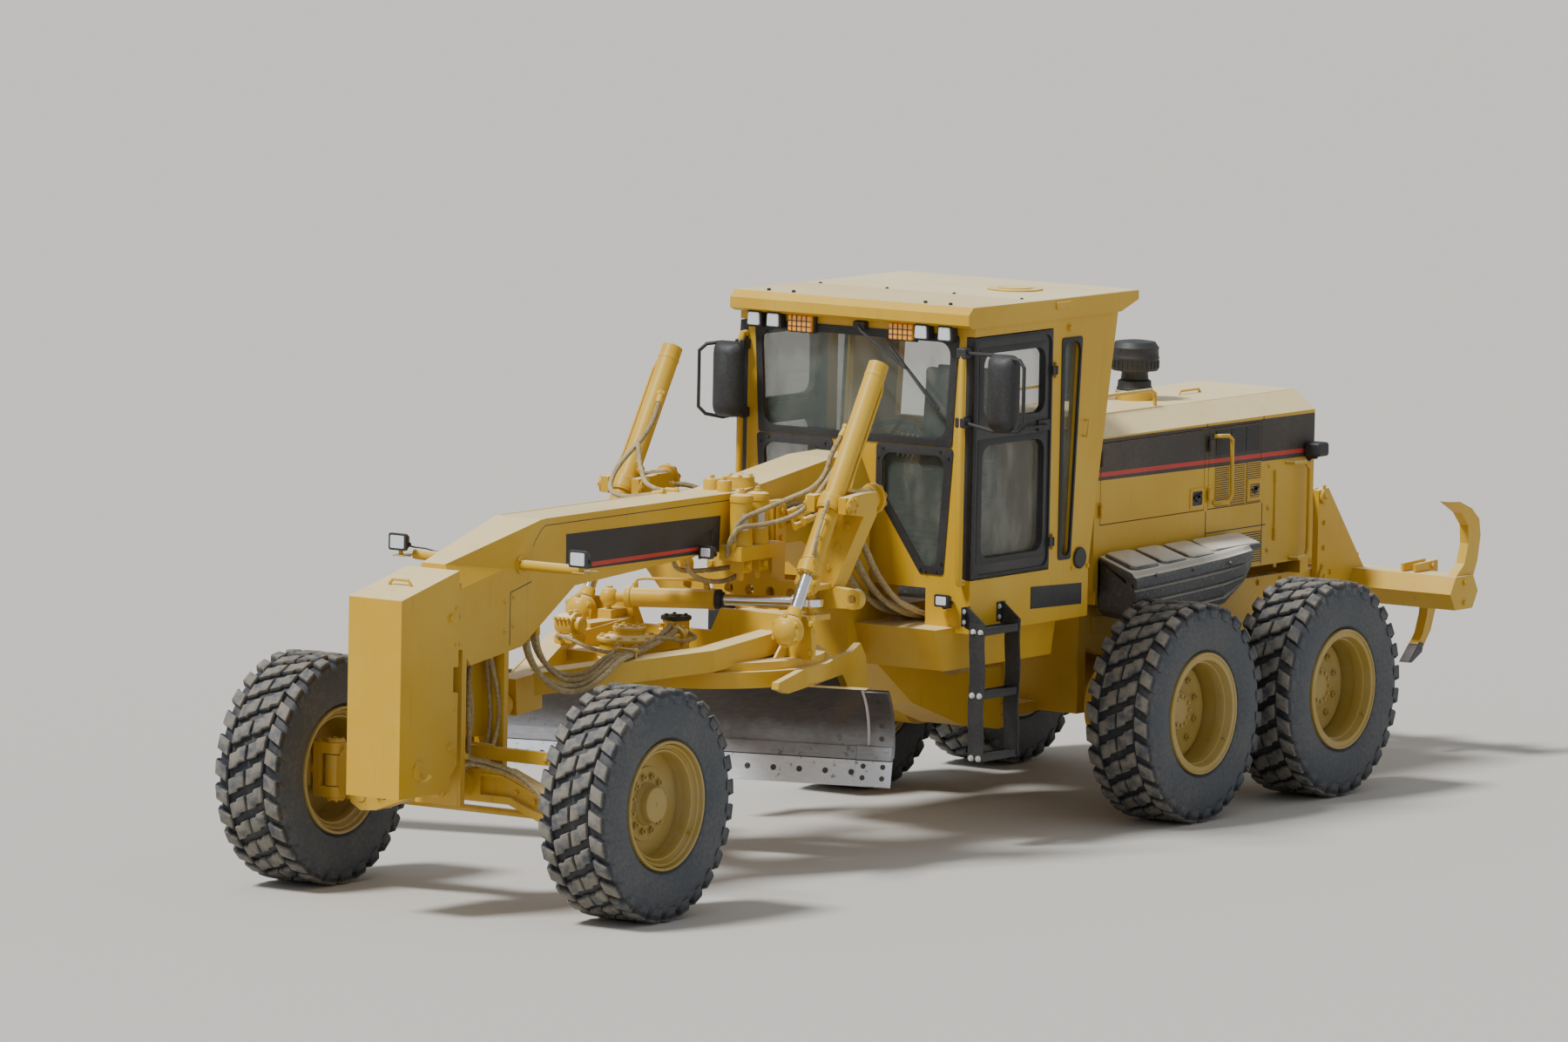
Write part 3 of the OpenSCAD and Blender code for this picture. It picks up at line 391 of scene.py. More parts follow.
mats = {kind: makePaint(kind) for kind in paints}
mats |= {
    "banded": makeBandedPaint(), "rubber": makeRubber(), "glass": makeGlass(), "fender": makeFenderLook(),
    "bladeSteel": makeSteel("blade_steel", (0.05, 0.05, 0.055, 1), (0.16, 0.155, 0.16, 1), 0.4, 0.5),
    "bladeFace": makeBladeSteel("blade_face", 0), "bladeFoot": makeBladeSteel("blade_foot", 0.578),
    "chrome": makeSteel("rod_chrome", (0.7, 0.71, 0.73, 1), (0.86, 0.87, 0.88, 1), 0.08, 0.0),
    "plastic": makePlain("black_plastic", (0.018, 0.019, 0.02, 1), (0.045, 0.045, 0.046, 1), 0.5),
    "iron": makePlain("engine_iron", (0.03, 0.03, 0.03, 1), (0.075, 0.07, 0.062, 1), 0.6, 0.3),
    "hose": makePlain("hose_rubber", (0.24, 0.18, 0.085, 1), (0.52, 0.42, 0.22, 1), 0.75, 0.0, 60, 0.3),
    "cloth": makePlain("seat_cloth", (0.03, 0.03, 0.034, 1), (0.07, 0.07, 0.075, 1), 0.9, 0.0, 220, 0.5),
    "lens": makeLamp("lamp_lens", (0.5, 0.53, 0.56, 1), (0.5, 0.55, 0.6, 1)),
    "amber": makeLamp("amber_lens", (0.72, 0.27, 0.012, 1), (0.72, 0.28, 0.015, 1)),
    "label": makePlain("label", (0.62, 0.62, 0.6, 1), (0.5, 0.49, 0.46, 1), 0.45),
    "mirror": makeSteel("mirror_face", (0.8, 0.82, 0.85, 1), (0.86, 0.88, 0.9, 1), 0.04, 0.0),
}
print("finishes are made:", len(mats))

# each wheel's middle and its side
wheels = {}
for row, y, half in (("front", 0.0, 1.08), ("mid", 5.3385, 1.11), ("rear", 6.8615, 1.11)):
    for side, sign in sides.items():
        wheels[row + "_" + side] = (sign * half, y, sign)


# the carried-over solids get their finishes
finishes = {
    "rubber": ["tyre_" + name for name in wheels],
    "bladeFace": ["moldboard"], "bladeFoot": ["cutting_edge"],
    "chrome": ["lift_rod_left", "lift_rod_right", "shift_rod"],
    "plastic": ["cab_interior", "mirrors", "ladders", "fenders", "tie_rod_end"],
    "banded": ["hood", "front_hood_door_left", "front_hood_door_right", "louvred_door_left", "louvred_door_right"],
    "rim": ["rim_" + name for name in wheels],
    "iron": ["engine_block"], "glass": ["cab_glass", "door_glass_left", "door_glass_right"],
    "black": ["stacks", "door_left", "door_right"],
}
for name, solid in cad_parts.items():
    kind = next((k for k, names in finishes.items() if name in names), "yellow")
    solid.data.materials.clear()
    solid.data.materials.append(mats[kind])
print("solids are painted")


# collects the plates, bars and rings of one piece
class Shape:
    def __init__(self):
        self.mesh = bmesh.new()

    # quads between rows of corners; a loop joins the last row to the first
    def skinRows(self, rows, closed, loop=False):
        rows = [[self.mesh.verts.new(p) for p in row] for row in rows]
        count = len(rows[0])
        for a, b in zip(rows, rows[1:] + rows[:1] if loop else rows[1:]):
            for i in range(count if closed else count - 1):
                j = (i + 1) % count
                self.mesh.faces.new((a[i], a[j], b[j], b[i]))
        return rows

    def loft(self, rings):
        rows = self.skinRows(rings, True)
        self.mesh.faces.new(rows[0][::-1])
        self.mesh.faces.new(rows[-1])
        return self

    # a flat outline, drawn in the two other directions, from low to high along an axis; its corners may be eased
    def plate(self, points, low, high, axis="x", edge=0.0):
        def inset(amount):
            out = []
            for b, n1, n2 in cornerNormals(points):
                m = n1 + n2
                m = m / max(0.25, m.length_squared / 2) if m.length > 1e-6 else n1
                out.append(b - m * amount)
            return out if amount else points
        e = min(edge, (high - low) * 0.45)
        levels = [(low, e), (low + e, 0), (high - e, 0), (high, e)] if e else [(low, 0), (high, 0)]
        return self.loft([[spotOn(axis, u, v, w) for u, v in inset(amount)] for w, amount in levels])

    # a plate on one side of the machine, between two distances from its middle
    def side(self, points, sign, near, far, edge=0.0):
        return self.plate(points, *sorted((sign * near, sign * far)), "x", edge)

    def box(self, low, high, edge=0.004):
        (x0, y0, z0), (x1, y1, z1) = low, high
        e = min(edge, (x1 - x0) * 0.3, (y1 - y0) * 0.3)
        return self.plate(rect(x0, y0, x1, y1), z0, z1, "z", e)

    # a profile of (radius, height) turned about an axis
    def ring(self, profile, centre, axis="x", steps=48, way=1, closed=False):
        turns = [[around(centre, axis, r, 2 * math.pi * k / steps, h * way) for r, h in profile] for k in range(steps)]
        made = self.skinRows(turns, closed, True)
        for end in (0, len(profile) - 1):
            if not closed and profile[end][0] > 1e-6:
                self.mesh.faces.new([row[end] for row in made])
        return self

    def circle(self, middle, u, v, radius, steps, start=0.0):
        turns = [2 * math.pi * (k + start) / steps for k in range(steps)]
        return [middle + (u * math.cos(t) + v * math.sin(t)) * radius for t in turns]

    def bar(self, start, end, radius, steps=20, endRadius=None, edge=0.0):
        a, b = Vector(start), Vector(end)
        way = (b - a).normalized()
        u = way.orthogonal().normalized()
        v = way.cross(u)
        r0, r1 = radius, radius if endRadius is None else endRadius
        levels = [(a + way * edge, r0), (b - way * edge, r1)]
        if edge:
            levels = [(a, r0 - edge)] + levels + [(b, r1 - edge)]
        return self.loft([self.circle(p, u, v, r, steps) for p, r in levels])

    # a bent tube through points, mitred at each
    def tube(self, points, radius, steps=10):
        pts = [Vector(q) for q in points]
        rows, u = [], None
        for i, q in enumerate(pts):
            d = ((pts[min(i + 1, len(pts) - 1)] - q).normalized() + (q - pts[max(i - 1, 0)]).normalized()).normalized()
            u = d.orthogonal().normalized() if u is None else (u - d * u.dot(d)).normalized()
            v = d.cross(u)
            rows.append(self.circle(q, u, v, radius, steps))
        return self.loft(rows)

    # a hexagon head on its washer
    def bolt(self, place, way, size=0.011, height=0.009, washer=True):
        a, w = Vector(place), Vector(way).normalized()
        if washer:
            self.bar(a - w * 0.002, a + w * 0.0025, size * 1.7, 12)
        return self.bar(a, a + w * (height + 0.0025), size * 1.15, 6, edge=size * 0.12)

    # a row of equal bolts
    def bolts(self, places, *kind):
        for place in places:
            self.bolt(place, *kind)

    # bolts on a circle that look along its axis, or against it where way is -1
    def boltCircle(self, centre, axis, radius, count, size=0.011, height=0.009, way=1, start=0.5):
        for k in range(count):
            self.bolt(around(centre, axis, radius, 2 * math.pi * (k + start) / count), spotOn(axis, 0, 0, way), size, height)

    def ball(self, centre, radius, steps=16, squash=1.0):
        rows = [(radius * math.sin(math.pi * k / 10), -radius * squash * math.cos(math.pi * k / 10)) for k in range(11)]
        rows[0], rows[-1] = (0.0, rows[0][1]), (0.0, rows[-1][1])
        return self.ring(rows, centre, "z", steps)

    # adds the mirrored half
    def both(self):
        copied = bmesh.ops.duplicate(self.mesh, geom=self.mesh.verts[:] + self.mesh.edges[:] + self.mesh.faces[:])["geom"]
        for g in copied:
            if isinstance(g, bmesh.types.BMVert):
                g.co.x = -g.co.x
        bmesh.ops.reverse_faces(self.mesh, faces=[g for g in copied if isinstance(g, bmesh.types.BMFace)])
        return self

    def turn(self, angle, centre=(0, 0)):
        there = Matrix.Translation((*centre, 0))
        move = there @ Matrix.Rotation(math.radians(angle), 4, "Z") @ there.inverted()
        bmesh.ops.transform(self.mesh, matrix=move, verts=self.mesh.verts)
        return self

    def done(self, name, body, kind, smooth=35, hides=()):
        bmesh.ops.remove_doubles(self.mesh, verts=self.mesh.verts, dist=0.00002)
        bmesh.ops.recalc_face_normals(self.mesh, faces=self.mesh.faces)
        data = bpy.data.meshes.new(name)
        self.mesh.to_mesh(data)
        self.mesh.free()
        data.transform(Matrix.Translation(origin))
        data.materials.append(mats[kind])
        for face in data.polygons:
            face.use_smooth = True
        data.set_sharp_from_angle(angle=math.radians(smooth))
        piece = addObject(name, data)
        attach(piece, body)
        if hides:
            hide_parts(*hides)
        return piece


# tyres: a round carcass with staggered blocks in arrow rows
tyre = {"radius": 0.635, "wide": 0.425, "lug": 0.03, "pitches": 28,
        "wall": [(0.33, 0.062), (0.352, 0.03), (0.362, 0.026), (0.372, 0.012), (0.41, 0.004), (0.455, 0), (0.5, 0.001),
                 (0.54, 0.004), (0.57, 0.009), (0.588, 0.016), (0.597, 0.03)],
        "rows": [{"from": 0.006, "to": 0.113, "at": 0.0, "slope": 0.4, "step": 0.016, "long": 0.09},
                 {"from": 0.124, "to": 0.205, "at": -0.008, "slope": -0.5, "step": 0.0, "long": 0.086}]}


# radius of the carcass under the blocks at a distance from the tyre's middle
def sectionRadius(w):
    t = min(1.0, abs(w) / 0.2)
    return tyre["radius"] - tyre["lug"] - 0.012 * t * t


def makeTyre(name):
    x, y, sign = wheels[name]
    half, radius = tyre["wide"] / 2, tyre["radius"]
    wall = [(r, inward - half) for r, inward in tyre["wall"]]
    crown = [(sectionRadius(w), w) for w in (-0.14, -0.07, 0.0, 0.07, 0.14)]
    profile = wall + crown + [(r, -w) for r, w in reversed(wall)]
    piece = Shape().ring(profile, (x, y, radius), "x", 96, sign, True)
    inner, outer = tyre["rows"]
    shoulder = [(0.2, 0.626), (half - 0.002, 0.6), (half - 0.0005, 0.575), (half - 0.0005, 0.552), (0.19, 0.56)]
    # the pattern is the same when the tyre is turned round: bars across the middle, blocks down each shoulder
    for k in range(tyre["pitches"]):
        start = k / tyre["pitches"] * 2 * math.pi
        for arm in (sign, -sign):
            def spot(w, r, along):
                return around((x, y, radius), "x", r, start - arm * along / radius, arm * w)
            for row in (inner, outer):
                w0, w1, middle = row["from"], row["to"], (row["from"] + row["to"]) / 2
                first = w0 if row["slope"] < 0 else 0.0
                rings = []
                for lift, ease in ((0.0, -0.004), (0.7, 0.001), (0.93, 0.004), (1.0, 0.011)):
                    ring = []
                    # across the tyre, end of the block, and whether it lies past the step
                    for w, end, more in ((w0 + ease, -1, 0), (middle, -1, 0), (middle + 0.008, -1, 1), (w1 - ease, -1, 1),
                                         (w1 - ease, 1, 1), (middle, 1, 1), (middle - 0.008, 1, 0), (w0 + ease, 1, 0)):
                        base = sectionRadius(w) - 0.006
                        top = radius - 0.004 * (w / 0.2) ** 2
                        along = row["at"] + row["slope"] * (w - first) + more * row["step"] + end * (row["long"] / 2 - ease)
                        ring.append(spot(w, base + (top - base) * lift, along))
                    rings.append(ring)
                piece.loft(rings)
            # the outer block runs down the shoulder
            rings = []
            for end in (-1, -0.72, 0.72, 1):
                trim = 0.0 if abs(end) < 1 else 0.004
                ring = []
                for n, (w, r) in enumerate(shoulder):
                    down = n * (n < 4)
                    along = outer["at"] + outer["slope"] * (0.079 + 0.012 * down) + end * outer["long"] / 2 * (1 - 0.08 * down)
                    ring.append(spot(w - trim, r - trim, along))
                rings.append(ring)
            piece.loft(rings)
    piece.done("tread_" + name, "wheel_" + name, "rubber", 40, ["tyre_" + name])


for name in wheels:
    makeTyre(name)
print("tyres are made")


# a flat frame round an outline: sharp outside, eased inside
def windowFrame(shape, points, axis, low, high, outer=0.012, inner=-0.03, corner=0.07, outerCorner=0.02, lip=0.006):
    big, small = eased(points, outerCorner, outer), eased(points, corner, inner)
    raised = high + (lip if high > low else -lip)
    sections = [(big, low), (big, high), (eased(points, corner, inner + 0.012), raised), (small, raised), (small, low)]
    shape.skinRows([[spotOn(axis, u, v, w) for u, v in path] for path, w in sections], True, True)


# cab: black seals round the panes, grab tubes, lamps, wiper, roof lip
cab = {"half": 0.8, "front": 3.645, "screen": [(-0.68, 2.87), (0.68, 2.87), (0.645, 2.26), (-0.645, 2.26)],
       "low": [(0.17, 2.22), (0.65, 2.22), (0.6, 1.54), (0.47, 1.54), (0.17, 1.96)],
       "quarter": [(4.56, 1.56), (4.56, 2.8), (4.74, 2.8), (4.66, 1.56)],
       "rear": [(-0.64, 2.86), (0.64, 2.86), (0.6, 2.25), (-0.6, 2.25)],
       "panes": [rect(3.7, 1.59, 4.395, 2.29), rect(3.7, 2.38, 4.395, 2.81)],
       "lamps": (-0.664, -0.532, 0.478, 0.637), "amber": (-0.358, 0.331)}


def makeCab():
    seals, bolts = Shape(), Shape()
    y = cab["front"]
    windowFrame(seals, cab["screen"], "y", y + 0.004, y - 0.006, 0.016, -0.03, 0.075)
    for sign in (1, -1):
        low = [(sign * x, z) for x, z in cab["low"]]
        windowFrame(seals, low, "y", y + 0.004, y - 0.006, 0.02, -0.028, 0.06)
        bolts.bolts([(u, y - 0.012, z) for u, z in eased(low, 0.06, 0.002, 3)[::2]], (0, -1, 0), 0.006, 0.004, False)
        x = sign * cab["half"]
        windowFrame(seals, cab["quarter"], "x", x - sign * 0.004, x + sign * 0.006, 0.016, -0.007, 0.06)
    seals.done("window_seals", "front_frame", "plastic")
    bolts.done("seal_bolts", "front_frame", "plastic")
    for side, sign in sides.items():
        door = Shape()
        x = sign * cab["half"]
        for pane in cab["panes"]:
            windowFrame(door, pane, "x", x - sign * 0.03, x + sign * 0.002, 0.004, -0.03, 0.075, lip=0.008)
        windowFrame(door, rect(3.646, 1.506, 4.449, 2.874), "x", x - sign * 0.01, x + sign * 0.001, 0.0, -0.022, 0.06, lip=0.009)
        for z in (1.53, 2.85):
            door.bolts([(x + sign * 0.002, yy, z) for yy in (3.69, 4.41)], (sign, 0, 0), 0.007, 0.005)
        door.tube([(x, 4.36, 2.335), (x + sign * 0.045, 4.34, 2.335), (x + sign * 0.045, 4.1, 2.335), (x, 4.08, 2.335)], 0.009, 8)
        door.side(rect(4.3, 2.302, 4.42, 2.366), sign, 0.8, 0.814, 0.004)
        door.done("door_seal_" + side, "cab_door_" + side, "plastic")
    # header lamps hang below the roof's front edge
    cases, glass, amber = Shape(), Shape(), Shape()
    for x in cab["lamps"]:
        cases.plate(eased([(x - 0.052, 2.846), (x + 0.052, 2.846), (x + 0.046, 2.94), (x - 0.046, 2.94)], 0.014), 3.576, 3.643, "y",
                    0.006)
        cases.box((x - 0.012, 3.6, 2.93), (x + 0.012, 3.63, 2.951), 0.002)
        glass.plate(eased([(x - 0.041, 2.857), (x + 0.041, 2.857), (x + 0.037, 2.93), (x - 0.037, 2.93)], 0.01), 3.569, 3.58, "y",
                    0.004)
    for x in cab["amber"]:
        cases.plate(rect(x - 0.09, 2.83, x + 0.09, 2.942), 3.612, 3.643, "y", 0.004)
        amber.plate(eased(rect(x - 0.08, 2.838, x + 0.08, 2.93), 0.01), 3.585, 3.615, "y", 0.006)
        for k in range(1, 5):
            cases.box((x - 0.082 + k * 0.033 - 0.0025, 3.5815, 2.838), (x - 0.082 + k * 0.033 + 0.0025, 3.587, 2.93), 0.001)
        for k in range(1, 3):
            cases.box((x - 0.08, 3.5815, 2.838 + k * 0.0305 - 0.0025), (x + 0.08, 3.587, 2.838 + k * 0.0305 + 0.0025), 0.001)
    # wiper, its motor cover and its arm
    cases.box((0.0, 3.6, 2.875), (0.075, 3.645, 2.925), 0.008)
    cases.tube([(0.035, 3.598, 2.9), (0.06, 3.592, 2.87), (0.36, 3.604, 2.68)], 0.008, 8)
    cases.tube([(0.24, 3.612, 2.79), (0.36, 3.61, 2.68), (0.56, 3.61, 2.47)], 0.006, 6)
    cases.plate([(0.22, 2.8), (0.575, 2.455), (0.585, 2.465), (0.23, 2.81)], 3.616, 3.632, "y", 0.002)
    cases.done("cab_lamp_cases", "front_frame", "plastic")
    glass.done("cab_lamp_glass", "front_frame", "lens")
    amber.done("cab_amber_glass", "front_frame", "amber")
    # roof: pale top sheet with small bolts, and a round beacon plate
    roof = Shape()
    roof.plate(rect(-0.812, 3.6, 0.812, 5.318), 3.035, 3.046, "z", 0.003)
    roof.done("roof_sheet", "front_frame", "pale")
    trim = Shape()
    trim.bolts([(x, 3.66, 3.047) for x in (-0.62, -0.45, 0.45, 0.62)], (0, 0, 1), 0.01, 0.014)
    trim.bolts([(-0.7 + 0.46 * k, 4.3, 3.047) for k in range(4)], (0, 0, 1), 0.007, 0.004)
    trim.done("roof_bolts", "front_frame", "plastic")
    top = Shape()
    top.bar((0.32, 4.78, 3.046), (0.32, 4.78, 3.056), 0.16, 32, edge=0.003)
    top.bar((0.32, 4.78, 3.055), (0.32, 4.78, 3.062), 0.1, 32, edge=0.002)
    top.box((0.79, 4.45, 2.985), (0.826, 4.6, 3.03), 0.006)
    # corner tubes
    for sign in (1, -1):
        x = sign * 0.755
        top.tube([(x, 3.64, 2.8), (x, 3.6, 2.8), (x, 3.588, 2.77), (x, 3.588, 1.52), (x, 3.6, 1.485), (x, 3.645, 1.485)], 0.019, 12)
        top.tube([(sign * 0.803, 4.8, 2.33), (sign * 0.83, 4.8, 2.33), (sign * 0.83, 4.78, 2.24), (sign * 0.803, 4.78, 2.24)],
                 0.006, 6)
        top.bolt((sign * 0.802, 4.62, 2.87), (sign, 0, 0), 0.016, 0.012)
        top.bolts([(sign * 0.802, yy, z) for yy, z in ((4.7, 1.49), (4.86, 1.49))], (sign, 0, 0), 0.01, 0.006)
    top.done("cab_tubes", "front_frame", "yellow")
    pads = Shape()
    for sign in (1, -1):
        pads.bar((sign * 0.8, 4.767, 1.542), (sign * 0.818, 4.767, 1.542), 0.062, 28, edge=0.006)
        pads.side([(4.272, 1.29), (4.8, 1.275), (4.8, 1.395), (4.272, 1.415)], sign, 0.8, 0.8035)
    pads.done("cab_pads", "front_frame", "black")


makeCab()
print("cab is dressed")

# mirrors: rounded cases with a bright face to the rear, on bent tubes
mirror = {"left": (1.08, 2.38, 3.5), "right": (0.775, 2.33, 3.48), "wide": 0.19, "tall": 0.43}


def makeMirrors():
    case, face = Shape(), Shape()
    w, h = mirror["wide"] / 2, mirror["tall"]
    for side, sign in sides.items():
        x, low, y = mirror[side]
        outline = rect(sign * (x - w), low, sign * (x + w), low + h)
        rings = []
        for dy, grow, corner in ((0.0, -0.012, 0.05), (0.006, 0.0, 0.055), (-0.035, 0.0, 0.055), (-0.07, -0.022, 0.05),
                                 (-0.09, -0.055, 0.04)):
            rings.append([(u, y + 0.035 + dy, v) for u, v in eased(outline, corner, grow)])
        case.loft(rings)
        hoop, post, high = x + w + 0.075, 0.735, low + 0.41
        middle = (post + hoop) / 2
        case.tube([(sign * u, v, z) for u, v, z in ((post, 3.62, high), (middle, y + 0.04, high + 0.01),
                                                    (hoop - 0.04, y - 0.02, high), (hoop, y - 0.035, high - 0.04),
                                                    (hoop, y - 0.035, low + 0.05), (hoop - 0.04, y - 0.02, low + 0.01),
                                                    (middle, y + 0.06, low - 0.01), (post, 3.62, low + 0.02))], 0.011, 8)
        stem = sign * (x - 0.03)
        case.tube([(stem, y, high), (stem, y + 0.06, high - 0.05), (stem, y + 0.06, low + 0.05), (stem, y, low + 0.005)], 0.009, 8)
        case.bar((stem, y + 0.06, low + 0.22), (stem, y + 0.035, low + 0.22), 0.02, 12)
        for z in (low + 0.02, high):
            case.box((sign * 0.755 - 0.03, 3.57, z - 0.03), (sign * 0.755 + 0.03, 3.64, z + 0.03), 0.006)
        face.plate(eased(outline, 0.045, -0.014), y + 0.038, y + 0.043, "y", 0.001)
    case.done("mirror_cases", "front_frame", "plastic", hides=["mirrors"])
    face.done("mirror_faces", "front_frame", "mirror")


makeMirrors()
print("mirrors are made")

# hood: louvres, recessed latches, grab handles, top rail, stacks and rear lamps
hood = {"half": 0.475, "seams": [6.635, 7.258], "latch": 1.668}


def makeHood():
    h = hood["half"]
    for side, sign in sides.items():
        body = "louvred_panel_" + side
        slats, dark = Shape(), Shape()
        # fine upper louvres in the dark band, wide lower louvres in three columns, with a strip of painted shadow under
        # each slat
        for c in range(3):
            a, b = 6.735 + c * 0.165, 6.735 + c * 0.165 + 0.15
            for k in range(12):
                z = 1.952 + k * 0.0125
                dark.side(rect(a, z, b, z + 0.0085), sign, h + 0.0005, h + 0.0035)
        for c in range(3):
            a, b = 6.73 + c * 0.172, 6.73 + c * 0.172 + 0.158
            for k in range(19):
                z = 1.655 + k * 0.0125
                slats.side(rect(a, z, b, z + 0.0065), sign, h, h + 0.006, 0.001)
                # a black strip under the slat: painted shadow
                dark.side(rect(a + 0.004, z - 0.005, b - 0.004, z - 0.0005), sign, h, h + 0.0015)
        slats.done("louvres_" + side, body, "yellow")
        dark.done("dark_louvres_and_slat_shadows_" + side, body, "black")
        handle = Shape()
        out, near = sign * (h + 0.052), sign * (h + 0.037)
        handle.tube([(sign * h, 6.715, 2.07), (near, 6.73, 2.072), (out, 6.79, 2.07), (out, 6.83, 2.045),
                     (out, 6.835, 1.72), (out, 6.8, 1.682), (near, 6.74, 1.678), (sign * h, 6.715, 1.678)], 0.0125, 10)
        handle.done("side_handle_" + side, body, "yellow")
        # latches: a pressed frame, a dark well and a paddle
        for name, y0, rideOn in (("front", 6.47, "front_panel_" + side), ("rear", 7.1, body)):
            z0 = hood["latch"]
            frameShape, well = Shape(), Shape()
            opening = rect(y0, z0, y0 + 0.125, z0 + 0.1)
            windowFrame(frameShape, opening, "x", sign * h, sign * (h + 0.004), 0.012, -0.008, 0.012, 0.01, 0.003)
            well.side(opening, sign, h, h + 0.002)
            well.bar((sign * h, y0 + 0.07, z0 + 0.05), (sign * (h + 0.012), y0 + 0.07, z0 + 0.05), 0.022, 16, edge=0.002)
            well.side([(y0 + 0.03, z0 + 0.042), (y0 + 0.11, z0 + 0.06), (y0 + 0.105, z0 + 0.078), (y0 + 0.03, z0 + 0.06)], sign,
                      h + 0.006, h + 0.012, 0.001)
            frameShape.done("latch_frame_%s_%s" % (name, side), rideOn, "yellow")
            well.done("latch_well_%s_%s" % (name, side), rideOn, "black")
    # a dark seam between the panels, over the fixed sheet above and below the doors
    seams = Shape()
    for sign in (1, -1):
        for y in hood["seams"]:
            for z0, z1 in ((1.275, 1.634), (2.122, 2.149)):
                seams.side(rect(y - 0.003, z0, y + 0.003, z1), sign, h, h + 0.0015)
        seams.side(rect(6.638, 1.5, 7.3, 1.506), sign, h, h + 0.0015)
        # lower small louvres: black strips of painted shade for their slots
        for k in range(14):
            z = 1.29 + k * 0.0135
            seams.side(rect(7.0, z, 7.25, z + 0.006), sign, h, h + 0.002)
    seams.done("hood_seams_and_louvre_shade", "rear_body", "black")
    fixed = Shape()
    for sign in (1, -1):
        out = sign * (h + 0.05)
        bends = [(7.53, 1.855), (7.66, 1.85), (7.7, 1.81), (7.7, 1.33), (7.68, 1.29), (7.59, 1.28)]
        fixed.tube([(sign * h, 7.52, 1.855), *((out, y, z) for y, z in bends), (sign * h, 7.575, 1.28)], 0.0125, 10)
        for y in (7.33, 7.78):
            fixed.bolts([(sign * (h + 0.001), y, z) for z in (1.35, 1.6, 1.85)], (sign, 0, 0), 0.011, 0.006)
        fixed.tube([(sign * (h + 0.004), 7.395, 1.4), (sign * (h + 0.004), 7.395, 1.82)], 0.006, 6)
        for z in (1.44, 1.78):
            fixed.bar((sign * (h + 0.005), 7.395, z - 0.035), (sign * (h + 0.005), 7.395, z + 0.035), 0.011, 8)
        # rail along the front of the hood's top
        fixed.tube([(sign * 0.3, y, z) for y, z in ((5.5, 2.255), (5.5, 2.335), (5.55, 2.36), (6.28, 2.36), (6.33, 2.335),
                                                    (6.33, 2.255))], 0.012, 10)
    fixed.tube([(0.05, 6.98, 2.26), (0.05, 7.0, 2.285), (0.05, 7.2, 2.285), (0.05, 7.22, 2.26)], 0.009, 8)
    fixed.box((-0.335, 5.44, 2.2585), (0.335, 6.62, 2.2635), 0.002)
    fixed.box((-0.335, 6.64, 2.2585), (0.335, 7.81, 2.2635), 0.002)
    fixed.bar((0, 6.575, 2.262), (0, 6.575, 2.32), 0.112, 40, edge=0.004)
    fixed.done("hood_fittings", "rear_body", "banded")
    top = Shape()
    # air pre-cleaner: ribbed neck and flat turned cap; exhaust pipe with a cut mouth
    top.ring([(0.0, 2.31), (0.1, 2.31), (0.106, 2.33), (0.1, 2.345), (0.098, 2.375), (0.082, 2.385), (0.078, 2.42), (0.082, 2.43),
              (0.135, 2.437), (0.14, 2.445), (0.14, 2.5), (0.143, 2.505), (0.143, 2.515), (0.14, 2.52), (0.138, 2.558),
              (0.141, 2.563), (0.141, 2.573), (0.135, 2.58), (0.118, 2.605), (0.06, 2.613), (0.0, 2.614)], (0, 6.575, 0), "z", 56)
    for k in range(28):
        top.bar(*(around((0, 6.575, z), "z", 0.142, 2 * math.pi * k / 28) for z in (2.452, 2.497)), 0.0028, 6)
    top.ring([(0.066, 2.262), (0.066, 2.3), (0.06, 2.305), (0.06, 2.88), (0.062, 2.885), (0.062, 2.94), (0.054, 2.94),
              (0.054, 2.7)], (-0.25, 6.245, 0), "z", 32)
    top.done("hood_stacks", "rear_body", "plastic", hides=["stacks"])
    lamps, lens = Shape(), Shape()
    for sign in (1, -1):
        x = sign * 0.535
        lamps.plate(eased(rect(x - 0.055, 1.878, x + 0.055, 1.962), 0.02), 7.7, 7.82, "y", 0.012)
        lamps.box((min(sign * h, x - 0.01), 7.74, 1.862), (max(sign * h, x + 0.01), 7.76, 1.888), 0.003)
        lamps.bolt((sign * 0.5, 7.735, 1.868), (0, -1, 0), 0.011, 0.01)
        lens.plate(eased(rect(x - 0.042, 1.888, x + 0.042, 1.952), 0.012), 7.818, 7.826, "y", 0.003)
    lamps.done("rear_lamp_cases", "rear_body", "plastic")
    lens.done("rear_lamp_glass", "rear_body", "lens")
    grille = Shape()
    for k in range(22):
        z = 1.36 + k * 0.038
        grille.box((-0.4, 7.829, z), (0.4, 7.836, z + 0.016), 0.002)
    grille.done("rear_grille", "rear_body", "black")


makeHood()
print("hood is dressed")

# rims: a lock ring and a second groove, a domed disc with nuts, and a hub with its cap
rim = {"front": {"disc": 0.03, "nuts": 12, "circle": 0.15, "seat": 0.034},
       "rear": {"disc": 0.002, "nuts": 10, "circle": 0.2, "seat": 0.002, "hub": 0.11}}


